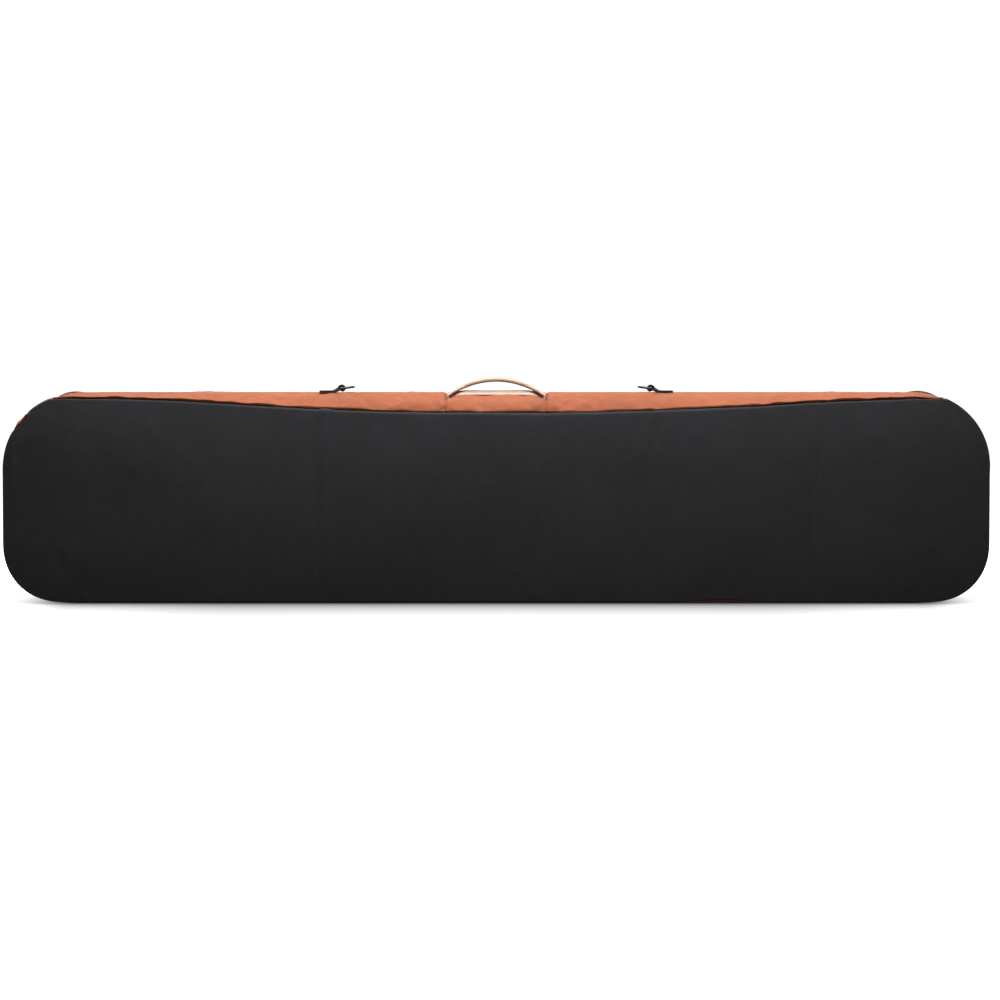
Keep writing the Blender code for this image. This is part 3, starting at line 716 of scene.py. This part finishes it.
def back_creases(co):
    """The fold that runs down from the left D-ring, and the pinches along the seam."""
    x, z = co[:, 0], co[:, 2]
    deep = inside(co)
    reach = smooth((z - 0.10) / 0.18) * smooth((deep - 0.0005) / 0.004)
    line = x + 0.2905 + 0.02 * (0.3 - z)
    bump = -0.0009 * bell(line, 0, 0.0036) * reach
    bump += 0.0022 * bell(line, 0.013, 0.009) * reach
    for place, depth in ((0.083, 0.0010), (0.151, 0.0008), (0.248, 0.0010), (0.53, 0.0008)):
        pinch = bell(x, place, 0.0050) * np.exp(-deep / 0.045)
        bump -= depth * pinch * smooth((z - 0.2) / 0.06)
    left = x + 0.7845 - 0.03 * np.abs(z - 0.24)
    bump += 0.0016 * bell(left, 0, 0.006) * bell(z, 0.235, 0.04)
    bump -= 0.0011 * bell(left, 0.018, 0.012) * bell(z, 0.205, 0.09)
    pucker = np.exp(-(((x + 0.672) / 0.006) ** 2) - ((z - 0.322) / 0.012) ** 2)
    return bump - 0.0010 * pucker


def settle_back(obj, size):
    billow(obj, size, 0.003, 0.0024)
    shift(obj, back_creases)


def settle_front(obj, size):
    billow(obj, size, 0.018, 0.0045)


def build_back():
    obj = panel_mesh("back_panel_cover", back_controls, MAT["back"], back_bump, COVER,
                     count=300, fill_rows=16, settle=settle_back)
    piece(obj, "bag", ["back_panel"])


def front_controls(x, nz):
    seam = lid_inset(nz)
    ring = ring_inset(seam)
    controls = [(0.0600, 0.0108 + 0 * x), (0.0600, seam + 0.0050), (0.0602, seam + 0.0005)]
    controls += [(0.0655, seam - 0.0006), (0.0702, seam + 0.0004), (0.0716, ring(0.0060))]
    controls += [(0.0722, ring(0.016)), (0.0731, ring(0.032)), (0.0742, ring(0.057))]
    return controls + [(0.0750, ring(0.088))]


def front_bump(co):
    x, z, deep, bump = swell(co, FRONT_SWELL, 0.012, (0.24, 0.10), 21)
    edge = bell(deep, 0.006, 0.006)
    return bump + 0.0004 * edge * noise(x, z * 2, 0.022, 23)


def build_front():
    obj = panel_mesh("front_panel_cover", front_controls, MAT["front"], front_bump, COVER,
                     count=260, fill_rows=16, way=1, settle=settle_front)
    piece(obj, "lid", ["front_panel"])


LINING_ROWS = ((0.0632, 0.0006), (0.0624, 0.0), (0.0622, 0.0080), (0.0634, 0.024), (0.0645, 0.045),
               (0.0660, 0.075))
FOAM_ROWS = ((0.0640, 0.0), (0.0690, 0.0014), (0.0706, 0.0060), (0.0716, 0.018), (0.0724, 0.035),
             (0.0732, 0.058), (0.0738, 0.088))


def inner_controls(side, rows, back_edge, front_edge):
    """Rows of a layer inside a panel, each (y, run in from the layer's own edge)."""

    def controls(x, nz):
        edge = back_drop(x, nz) + back_edge if side < 0 else front_edge(nz)
        ring = ring_inset(edge)
        return [(side * y, ring(run)) for y, run in rows]

    return controls


def lining_bump(co):
    x, z = co[:, 0], co[:, 2]
    open_area = smooth((inside(co) - 0.03) / 0.04)
    return 0.0005 * open_area * (noise(x, z, 0.12, 31) + 0.6 * noise(x, z * 0.6, 0.035, 32))


def build_linings():
    for name, side, body in (("back_lining", -1, "bag"), ("front_lining", 1, "lid")):
        controls = inner_controls(side, LINING_ROWS, 0.0048, lambda nz: 0.0160 + 0 * nz)
        obj = panel_mesh(name + "_cover", controls, MAT["lining"], lining_bump, 0.0006,
                         count=260, fill_rows=16, way=-side)
        piece(obj, body, [name])


def build_panel_foams():
    kinds = (("back_foam", -1, "bag", BACK_SWELL), ("front_foam", 1, "lid", FRONT_SWELL))
    for name, side, body, height in kinds:
        controls = inner_controls(side, FOAM_ROWS, 0.0052, lambda nz: lid_inset(nz) + 0.0125)
        obj = panel_mesh(name + "_layer", controls, MAT["foam"],
                         lambda co: belly(inside(co), height * 0.96) - 0.0006, 0.0062,
                         count=260, way=side)
        piece(obj, body, [name])


# ---------------------------------------------------------------- gusset


def gusset_rows(s):
    x, _, _, nz = outline(s)
    drop, wide = back_drop(x, nz), roll_width(nz)
    tuck = 0.0010 * (1 - smooth((nz - 0.75) / 0.2)) * (drop < 0.002)
    lip = np.minimum(drop * 0.30, 0.0030) * (1 + 0.3 * noise(x, x * 0, 0.021, 6))
    hide = 0.0024 * (1 - smooth((drop - 0.0006) / 0.0022))
    controls = [(-0.0622, drop + 0.0012), (-0.0642, drop + 0.0002 + hide)]
    controls += [(-0.0672, drop - lip * 0.45 + hide), (-0.0694, drop - lip * 1.05 + hide)]
    controls += [(-0.0704, drop - lip * 1.8 + hide)]
    for angle in np.radians((26, 42, 58, 74, 90)):
        y = -SEAM_Y + 0.0006 + (wide - 0.0006) * (1 - math.cos(angle))
        controls.append((y, drop * (1 - math.sin(angle)) + np.maximum(tuck, hide)))
    controls += [(0.004, tuck), (0.020, tuck), (0.0325, tuck), (0.0342, 0.0015 + tuck)]
    controls += [(0.0342, 0.0060), (GUSSET_FRONT, 0.0109)]
    return rows_of(controls, s)


def zip_rise(s):
    """How far the zip and its hem are pushed out where they turn the top corners."""
    left, right = S_TOP - 0.030, S_TOTAL - S_TOP + 0.030
    return smooth(1 - np.abs(s - left) / 0.075) + smooth(1 - np.abs(s - right) / 0.085)


def handle_press(x):
    """1 where the handle's ends are sewn on, fading along the bag to both sides."""
    return bell(np.abs(x), 0.0805, 0.0145)


def gusset_dents(x, y, within):
    """Where the handle's base and the D-ring tabs press the padded gusset down."""
    front = smooth((0.030 - y) / 0.012)
    ridge = smooth((np.abs(y - TRIM_Y) - 0.004) / 0.020) * front
    dents = np.zeros_like(x)
    if within:
        near = smooth((SEAM_X + 0.002 - np.abs(x)) / 0.004)
        dents -= 0.0032 * ridge * near * smooth((y + 0.062) / 0.02)
        ends = handle_press(x) * near
        dents -= HANDLE_DIP * ends * smooth((y + 0.062) / 0.026) * front
    for side in (-1, 1):
        under = bell(x, side * (RING_X + 0.022), 0.017)
        dents -= 0.0030 * under * ridge * smooth((y + 0.055) / 0.02)
    return dents


def gusset_bump(points, s, ends, centre):
    """Soft dents and short creases, deeper beside the seams where the fabric is gathered."""
    x, y = points[..., 0], points[..., 1]
    along = np.broadcast_to(s, y.shape)
    across = lengths(points, 0)
    front = smooth((0.030 - y) / 0.012)
    body = smooth((across - 0.005) / 0.012) * front
    bump = 0.0014 * noise(along, across, 0.060, 41) + 0.0012 * noise(along, across, 0.024, 42)
    bump += 0.0006 * noise(along + across, (across - along) * 0.4, 0.010, 46)
    ridges = 1 - np.abs(noise(along * 0.8 - across, across * 0.5 + along * 0.2, 0.030, 49))
    bump += 0.0017 * (ridges**3 - 0.4) * smooth(noise(along, across * 0.3, 0.13, 50) + 0.55)
    creases = noise(along + 0.4 * across, across * 0.35, 0.013, 43)
    bump += 0.0013 * creases * smooth((noise(along, across * 0.5, 0.10, 44) + 0.05) / 0.5)
    bump = (bump - 0.0007) * body
    pulled = 0.0011 * bell(across, 0.010, 0.007)
    bump += pulled * noise(along, across * 0.2, 0.009, 47) * (0.5 + noise(along, along * 0, 0.07, 48))
    for end in ends:
        gap = np.abs(along - end)
        bump -= 0.0030 * bell(gap, 0, 0.0017) * smooth((across - 0.001) / 0.004)
        bump += 0.0008 * bell(gap, 0.012, 0.008) * body
        bump += 0.0012 * np.exp(-gap / 0.022) * noise(along * 0.4, across, 0.011, 45) * body
    if not centre:
        edge = bell(np.abs(x), SEAM_X, 0.0013)
        bump -= 0.0075 * edge * smooth((y + 0.062) / 0.022) * front
    peep = bell(x, -0.772, 0.010) * smooth((along - S_SIDE) / 0.05)
    bump += 0.0022 * peep * body * (along < S_TOP)
    for side in (-1, 1):
        lifted = bell(x, side * (RING_X - 0.004), 0.006) * smooth((y + 0.05) / 0.02)
        bump += 0.0010 * lifted * front
        bump -= 0.0016 * bell(x, side * (RING_X + 0.007), 0.004) * body
    bump -= HEM_RISE * zip_rise(along) * body
    return bump + gusset_dents(x, y, centre)


def build_gusset():
    seam = S_HALF - SEAM_X
    low = S_LOW + 0.0004
    pieces = (
        ("gusset_left", low, seam + 0.0004, 420, (seam,)),
        ("gusset_centre", seam - 0.0004, S_TOTAL - seam + 0.0004, 70, (seam, S_TOTAL - seam)),
        ("gusset_right", S_TOTAL - seam - 0.0004, S_TOTAL - low, 420, (S_TOTAL - seam,)),
    )
    for name, start, end, count, ends in pieces:
        fine = [edge + np.linspace(-0.010, 0.010, 31) for edge in ends]
        s = np.concatenate([np.linspace(start, end, count)] + fine)
        s = np.unique(np.clip(s, start, end).round(5))
        points = sweep_points(s, gusset_rows(s))
        bump = gusset_bump(points, s, ends, "centre" in name)
        obj = cloth_grid(name + "_cover", points, MAT["gusset"], COVER, bump, outward_of(s))
        piece(obj, "bag", [name])

    s = np.linspace(-BOTTOM_STRAIGHT, BOTTOM_STRAIGHT, 240)
    x, _, _, nz = outline(s)
    drop, wide = back_drop(x, nz), 0.012
    controls = [(-0.0650, drop + 0.0004), (-0.0701, drop + 0.0002)]
    for angle in np.radians((20, 45, 70, 90)):
        controls.append((-SEAM_Y + wide * (1 - math.cos(angle)), drop * (1 - math.sin(angle))))
    controls += [(-0.02, 0.0), (0.03, 0.0), (0.0722, 0.0)]
    points = sweep_points(s, rows_of(controls, s))
    outward = np.zeros(points.shape)
    outward[..., 2] = -1
    obj = cloth_grid("gusset_bottom_cover", points, MAT["gusset"], COVER, None, outward)
    piece(obj, "bag", ["gusset_bottom"])


def layer_rows(s, deep, front):
    x, _, _, nz = outline(s)
    drop, wide = back_drop(x, nz), roll_width(nz)
    heights = (-0.0602, -0.056, -0.050, -0.042, -0.032, -0.020, 0.0, front - 0.011, front)
    return rows_of([(y, roll_inset(y, drop, wide) + deep) for y in heights], s, 2)


def build_gusset_layers():
    """Foam under the gusset in four lengths, and the lining inside it."""
    left, right = S_TOP, S_TOTAL - S_TOP
    lengths_ = (
        ("gusset_foam_left", S_LOW + 0.0005, left - 0.0005),
        ("gusset_foam_top", left, right),
        ("gusset_foam_right", right + 0.0005, S_TOTAL - S_LOW - 0.0005),
        ("gusset_foam_bottom", -S_LOW, S_LOW),
    )
    specs = [(n, a, b, 0.0058, 0.0024, MAT["foam"], "foam") for n, a, b in lengths_]
    specs.append(("gusset_lining", 0.0, S_TOTAL, 0.0090, 0.0006, MAT["lining"], "lining"))
    for name, start, end, deep, thickness, material, slot in specs:
        s = np.linspace(start, end, max(120, int((end - start) / 0.006)))
        points = sweep_points(s, layer_rows(s, deep, 0.0255 if slot == "foam" else 0.0310))
        outward = outward_of(s) * (1 if slot == "foam" else -1)
        sunk = gusset_dents(points[..., 0], points[..., 1], True) * (points[..., 2] > HEIGHT / 2)
        if slot == "foam":
            bump = 1.04 * sunk - 0.0020 * zip_rise(s)[None]
        else:
            across = lengths(points, 0)
            bump = 0.0003 * noise(np.broadcast_to(s, across.shape), across, 0.03, 51) - 0.8 * sunk
        obj = cloth_grid(name + "_layer", points, material, thickness, bump, outward)
        piece(obj, "bag", [name])


# ---------------------------------------------------------------- straps


def strap_mesh(name, path, half_width, half_thickness, material, crown=0.0, samples=20):
    """A woven strap along a path of points with up directions, its edges rounded."""
    path = [(Vector(p), Vector(up)) for p, up in path]
    count = len(path)
    widths = np.broadcast_to(half_width, count).tolist()
    depths = np.broadcast_to(half_thickness, count).tolist()
    verts, uvs = [], []
    travelled = 0.0
    for k, (point, up) in enumerate(path):
        if k:
            travelled += (point - path[k - 1][0]).length
        after, before = beside(path, k)
        along = (after[0] - before[0]).normalized()
        wide = along.cross(up).normalized()
        lift = wide.cross(along).normalized()
        if lift.dot(up) < 0:
            lift = -lift
        for turn in np.arange(samples) * 2 * math.pi / samples:
            a = math.copysign(abs(math.cos(turn)) ** 0.28, math.cos(turn))
            b = math.copysign(abs(math.sin(turn)) ** 0.55, math.sin(turn))
            bend = -crown * a * a
            verts.append(point + wide * (a * widths[k]) + lift * (b * depths[k] + bend))
            uvs.append((travelled, a * widths[k] + (0.05 if b < 0 else 0.0)))
    faces = grid_faces(count, samples, close_columns=True)
    faces.append(tuple(range(samples)))
    faces.append(tuple(reversed(range((count - 1) * samples, count * samples))))
    obj = new_object(name, verts, faces, material, uvs)
    facing_out(obj)
    return obj


def beside(line, k):
    """The points after and before number k of a line, kept on the line at its ends."""
    return line[min(k + 1, len(line) - 1)], line[max(k - 1, 0)]


def stitches(name, marks, radius, material):
    """Thread stitches. Each mark is (start, end, up): a small arched stitch between two points."""
    verts, faces = [], []
    sides = grid_faces(4, 4, close_columns=True)
    profile = ((0.0, -0.6, 0.5), (0.22, 0.7, 1.0), (0.78, 0.7, 1.0), (1.0, -0.6, 0.5))
    for start, end, up in marks:
        start, end, up = Vector(start), Vector(end), Vector(up).normalized()
        side = (end - start).cross(up).normalized() * radius
        base = len(verts)
        for share, height, wide in profile:
            middle = start.lerp(end, share) + up * radius * height
            rise = up * radius * wide
            verts += [middle + side * wide, middle + rise, middle - side * wide, middle - rise]
        faces += [tuple(base + i for i in face) for face in sides]
        faces.append((base + 3, base + 2, base + 1, base))
        faces.append((base + 12, base + 13, base + 14, base + 15))
    return new_object(name, verts, faces, material)


def stitch_line(points, ups, pitch, share=0.7):
    """Marks for a row of stitches along a line of points."""
    points = np.asarray(points, float)
    ups = np.broadcast_to(np.asarray(ups, float), points.shape)
    run = np.concatenate([[0], np.cumsum(np.linalg.norm(np.diff(points, axis=0), axis=1))])
    marks = []
    for k in range(int(run[-1] / pitch)):
        ends = (k * pitch, k * pitch + pitch * share)
        a, b = [np.array([np.interp(e, run, points[:, i]) for i in range(3)]) for e in ends]
        up = np.array([np.interp(ends[0], run, ups[:, i]) for i in range(3)])
        marks.append((a, b, up))
    return marks


def strap_dip(x):
    """How far the base strap is pulled down where the handle's ends are sewn on."""
    return HANDLE_DIP * float(handle_press(x))


def build_handle():
    low, top = HEIGHT - 0.0048, HEIGHT + 0.0216
    rise = top - low
    radius = (HANDLE_HALF**2 + rise**2) / (2 * rise)
    steps = 72
    layers = (
        ("handle_grip_webbing", MAT["tan"], 0.0010, 0.0020, 0.0027, 1.0),
        # The brown strip under the grip is painted shade: it stands in for the shade along the grip's
        # underside.
        ("handle_grip_underside_shade", MAT["brown"], -0.0024, 0.0006, 0.0010, 0.93),
    )
    for name, material, offset, thin, thick, share in layers:
        path, widths, depths = [], [], []
        for k in range(steps + 1):
            x = -HANDLE_HALF * math.cos(math.pi * k / steps)
            z = top - radius + math.sqrt(radius**2 - x**2)
            up = Vector((x, 0, z - top + radius)).normalized()
            grown = float(smooth((HANDLE_HALF - abs(x)) / 0.030))
            y = TRIM_Y - 0.009 * (1 - float(smooth((HANDLE_HALF - abs(x)) / 0.026)))
            lift = offset if offset > 0 else offset * (0.7 + 0.3 * grown)
            path.append((Vector((x, y, z)) + up * lift, up))
            widths.append(share * (0.0155 + 0.0025 * (1 - grown)))
            depths.append(thin + (thick - thin) * grown)
        obj = strap_mesh(name, path, widths, depths, material, crown=0.0012)
        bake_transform(obj)
        if offset > 0:
            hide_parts("handle_grip")

    path = []
    for x in np.linspace(-HANDLE_HALF - 0.001, HANDLE_HALF + 0.001, 60):
        path.append(((x, STRAP_Y, HEIGHT + 0.0022 - strap_dip(x)), (0, 0, 1)))
    obj = strap_mesh("handle_base_webbing", path, 0.0205, 0.0015, MAT["tan"], crown=0.0056)
    piece(obj, "bag", ["handle_base_strap"])
    marks = []
    for side in (-1, 1):
        row = [(x, STRAP_Y + side * 0.0164, HEIGHT + 0.0002 - strap_dip(x))
               for x in np.linspace(-0.074, 0.074, 50)]
        marks += stitch_line(row, (0, side * 0.3, 1), 0.0030, 0.75)
    obj = stitches("handle_base_stitches", marks, 0.00038, MAT["thread_tan"])
    piece(obj, "bag", ())


def tab_path():
    """Centre line of the D-ring tab's webbing, out from the ring: under, round the bar, over."""
    path = [(0.036, 0.0000), (0.024, -0.0002), (0.0125, 0.0000), (0.0085, 0.0014)]
    for turn in np.linspace(-40, 222, 17)[::-1]:
        angle = math.radians(180 - turn)
        path.append((0.0033 * math.cos(angle), RING_Z + 0.0033 * math.sin(angle)))
    path += [(0.0068, 0.0076), (0.0100, 0.0050), (0.0135, 0.0030), (0.0165, 0.0024)]
    path += [(0.024, 0.0024), (0.036, 0.0022)]
    return path


def build_d_rings():
    for name, side in (("left", -1), ("right", 1)):
        centre_x = side * RING_X
        line = rounded(np.array(tab_path()), 2)
        path = []
        for k, (u, w) in enumerate(line):
            after, before = beside(line, k)
            along = np.array(after) - np.array(before)
            path.append(((centre_x + side * u, TRIM_Y, HEIGHT + w), (-side * along[1], 0, along[0])))
        obj = strap_mesh("d_ring_tab_webbing_" + name, path, 0.0125, 0.0011, MAT["black_webbing"],
                         crown=0.0026)
        piece(obj, "bag", ["d_ring_tab_" + name])
        marks = []
        for u in (0.0165, 0.0180, 0.0325, 0.0340):
            row = [(centre_x + side * u, TRIM_Y + v, HEIGHT + 0.0014) for v in (-0.0104, 0.0104)]
            marks += stitch_line(row, (0, 0, 1), 0.0019, 0.75)
        for v in (-0.0108, 0.0108):
            row = [(centre_x + side * u, TRIM_Y + v, HEIGHT + 0.0014) for u in (0.0180, 0.0325)]
            marks += stitch_line(row, (0, 0, 1), 0.0026, 0.75)
        obj = stitches("d_ring_tab_stitches_" + name, marks, 0.00035, MAT["thread_black"])
        piece(obj, "bag", ())

        points = []
        bar, half, reach = 0.0128, 0.0148, 0.0142
        points += [(0.0, v) for v in np.linspace(-bar, bar, 7)]
        points += [(0.0009, half * 0.965), (0.0029, half)]
        for k in range(25):
            turn = math.pi / 2 - math.pi * k / 24
            points.append((0.0060 + reach * math.cos(turn), half * math.sin(turn)))
        points += [(0.0029, -half), (0.0009, -half * 0.965)]
        tilt = Matrix.Rotation(side * math.radians(7), 3, "Y")
        centre = Vector((centre_x, TRIM_Y, HEIGHT + RING_Z))
        ring = [centre + tilt @ Vector((-side * u, v, 0)) for u, v in points]
        obj = wire_loop("d_ring_wire_" + name, ring, 0.0018, MAT["ring"])
        piece(obj, "d_ring_" + name, ["d_ring_" + name])


def wire_loop(name, ring, radius, material, sides=16):
    ring = np.array([list(p) for p in ring])
    for _ in range(2):
        following = np.roll(ring, -1, axis=0)
        ring = np.stack([ring * 0.75 + following * 0.25, ring * 0.25 + following * 0.75], 1)
        ring = ring.reshape(-1, 3)
    count = len(ring)
    centre = ring.mean(axis=0)
    flat = np.cross(ring[count // 4] - centre, ring[count // 2 + 3] - centre)
    flat /= np.linalg.norm(flat)
    verts = []
    for k in range(count):
        tangent = ring[(k + 1) % count] - ring[k - 1]
        tangent /= np.linalg.norm(tangent)
        side = np.cross(flat, tangent)
        for j in range(sides):
            turn = 2 * math.pi * j / sides
            verts.append(ring[k] + radius * (math.cos(turn) * side + math.sin(turn) * flat))
    faces = grid_faces(count, sides, close_columns=True, close_rows=True)
    obj = new_object(name, verts, faces, material)
    return facing_out(obj)


# ---------------------------------------------------------------- zip


def zip_stations(count):
    return np.linspace(S_LOW + 0.002, S_TOTAL - S_LOW - 0.002, count)


def build_tapes():
    s = zip_stations(620)
    for name, y0, y1, body in (("body", 0.0292, 0.0418, "bag"), ("lid", 0.0522, 0.0640, "lid")):
        y = np.linspace(y0, y1, 9)
        points = sweep_points(s, rows_of([(v, TAPE_INSET - 0.0004) for v in y], s, 0))
        across = np.broadcast_to(y[:, None], points.shape[:2])
        along = np.broadcast_to(s, points.shape[:2])
        bump = 0.00025 * noise(along, across * 2, 0.02, 61) + ZIP_RISE * zip_rise(along)
        obj = cloth_grid("zip_tape_" + name + "_knit", points, MAT["tape"], 0.0008, bump,
                         outward_of(s))
        piece(obj, body, ["zip_tape_" + name])


def build_coils():
    """Each coil's teeth: loops of nylon that reach over the middle, in turn with the other's."""
    pitch = 0.0025
    start, end = S_LOW + 0.003, S_TOTAL - S_LOW - 0.003
    count = int((end - start) / pitch)
    section = [(-0.00052, 0), (-0.00036, 0.00036), (0, 0.00052), (0.00036, 0.00036), (0.00052, 0),
               (0.00036, -0.00036), (0, -0.00052), (-0.00036, -0.00036)]
    loops = ((0.0, 0.00145), (0.0031, 0.00142), (0.0044, 0.0009), (0.0050, 0.0))
    loops = loops + tuple((a, -b) for a, b in reversed(loops[:-1]))
    for name, root, way, shift in (("body", 0.0420, 1, 0.0), ("lid", 0.0520, -1, 0.5)):
        s = start + (np.arange(count) + shift) * pitch
        x, z, nx, nz = outline(s)
        lift = ZIP_RISE * zip_rise(s)
        verts, faces = [], []
        tube = grid_faces(len(loops), len(section), close_columns=True)
        for k in range(count):
            along = Vector((nz[k], 0, -nx[k]))
            up = Vector((nx[k], 0, nz[k]))
            origin = Vector((x[k], root, z[k])) - up * (TAPE_INSET - lift[k])
            base = len(verts)
            for i, (reach, rise) in enumerate(loops):
                after, before = beside(loops, i)
                lean = Vector((0, way * (after[0] - before[0]), 0)) + up * (after[1] - before[1])
                out = lean.normalized().cross(along)
                middle = origin + Vector((0, way * reach, 0)) + up * rise
                verts += [middle + along * a + out * b for a, b in section]
            faces += [tuple(base + i for i in face) for face in tube]
        obj = new_object("zip_coil_" + name + "_teeth", verts, faces, MAT["coil"])
        piece(obj, "bag" if name == "body" else "lid", ["zip_coil_" + name])


def build_zip_stitches():
    """Stitch rows that hold the gusset's hem and the lid's hem to the tapes."""
    s = zip_stations(900)
    x, z, nx, nz = outline(s)
    ups = outward_of(s)[0]
    rows = (
        ("gusset", 0.0285, -0.0001, "bag", "thread_rust", "gusset_fabric"),
        ("tape", 0.0372, TAPE_INSET - 0.0006, "bag", "thread_black", "zip_tape"),
        ("lid_tape", 0.0562, TAPE_INSET - 0.0006, "lid", "thread_black", "zip_tape"),
    )
    for name, y, inset, body, thread, slot in rows:
        deep = inset - (ZIP_RISE if inset > 0 else -HEM_RISE) * zip_rise(s)
        points = np.stack([x - nx * deep, np.full_like(x, y), z - nz * deep], axis=-1)
        marks = stitch_line(points, ups, 0.0040, 0.72)
        obj = stitches(name + "_hem_stitches", marks, 0.00032, MAT[thread])
        piece(obj, body, ())


def build_bindings():
    """Bound seam allowances inside: a folded tape round the raw edges."""
    s = np.linspace(0, S_TOTAL, 560)
    x, _, _, nz = outline(s)
    drop = back_drop(x, nz)
    specs = (
        ("back_seam_binding", "bag", [(y, drop + deep) for y, deep in (
            (-0.0672, -0.0004), (-0.0640, -0.0006), (-0.0606, 0.0), (-0.0603, 0.0008),
            (-0.0606, 0.0018), (-0.0640, 0.0022), (-0.0672, 0.0020))]),
        ("lid_edge_binding", "lid", [(0.0640, 0.0122), (0.0640, 0.0135), (0.0637, 0.0150),
         (0.0626, 0.0153), (0.0614, 0.0150), (0.0612, 0.0135), (0.0612, 0.0122)]),
    )
    for name, body, controls in specs:
        points = sweep_points(s, rows_of(controls, s, 2))
        rows, columns = points.shape[:2]
        along = np.broadcast_to(s, (rows, columns))
        uvs = np.stack([along, lengths(points, 0)], axis=-1).reshape(-1, 2)
        faces = grid_faces(rows, columns, close_rows=True)
        obj = new_object(name + "_tape", points.reshape(-1, 3), faces, MAT["binding"], uvs)
        facing_out(obj)
        piece(obj, body, [name])


def dress_cad_nodes():
    """CAD pieces whose shape is right keep it and get a finished material."""
    for side in ("left", "right"):
        for name, key in (("slider_", "slider"), ("puller_", "slider"), ("zip_end_", "tape")):
            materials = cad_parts[name + side].data.materials
            materials.clear()
            materials.append(MAT[key])


# ---------------------------------------------------------------- studio


def build_studio():
    scene = bpy.context.scene
    scene.view_settings.view_transform = "Standard"
    paper = floor_material()
    low = -0.0005
    verts = [(-30, -30, low), (30, -30, low), (30, 9, low), (-30, 9, low), (30, 9, 12), (-30, 9, 12)]
    floor = new_object("studio_sweep", verts[:4], [(0, 1, 2, 3)], paper)
    wall = new_object("studio_wall", verts[2:], [(0, 2, 3, 1)], wall_material())
    for sheet in (floor, wall):
        sheet.visible_diffuse = sheet.visible_glossy = False
    scene.world = bpy.data.worlds.new("studio")
    scene.world.use_nodes = True
    background = scene.world.node_tree.nodes["Background"]
    background.inputs["Color"].default_value = (1, 1, 1, 1)
    background.inputs["Strength"].default_value = 0.07

    def area(name, place, target, size, power):
        data = bpy.data.lights.new(name, "AREA")
        data.shape = "RECTANGLE"
        data.size, data.size_y = size
        data.energy = power
        lamp = bpy.data.objects.new(name, data)
        lamp.location = place
        lamp.rotation_euler = (Vector(target) - Vector(place)).to_track_quat("-Z", "Y").to_euler()
        lamp.visible_camera = False
        scene.collection.objects.link(lamp)

    area("softbox_top", (0, 0.05, 2.4), (0, 0.0, 0.0), (4.2, 1.4), 78)
    area("softbox_back", (0.0, 1.5, 0.75), (0.0, 0.07, 0.17), (1.9, 0.6), 9)
    area("softbox_front", (0.1, -1.05, 1.34), (0.05, 0, 0.38), (1.65, 0.4), 18)

    camera_data = bpy.data.cameras.new("camera")
    camera_data.lens = 142.8
    camera_data.sensor_width = 36.0
    camera_data.clip_end = 100
    camera = bpy.data.objects.new("camera", camera_data)
    scene.collection.objects.link(camera)
    rise = math.radians(2.5)
    distance = 6.5
    target = Vector((0.0061, 0, 0.1637))
    camera.location = target + Vector((0, -distance * math.cos(rise), distance * math.sin(rise)))
    camera.rotation_euler = (math.pi / 2 - rise, 0, 0)
    scene.camera = camera


for build in (build_back, build_front, build_linings, build_panel_foams, build_gusset,
              build_gusset_layers, build_handle, build_d_rings, build_tapes, build_coils,
              build_zip_stitches, build_bindings, dress_cad_nodes, build_studio):
    build()
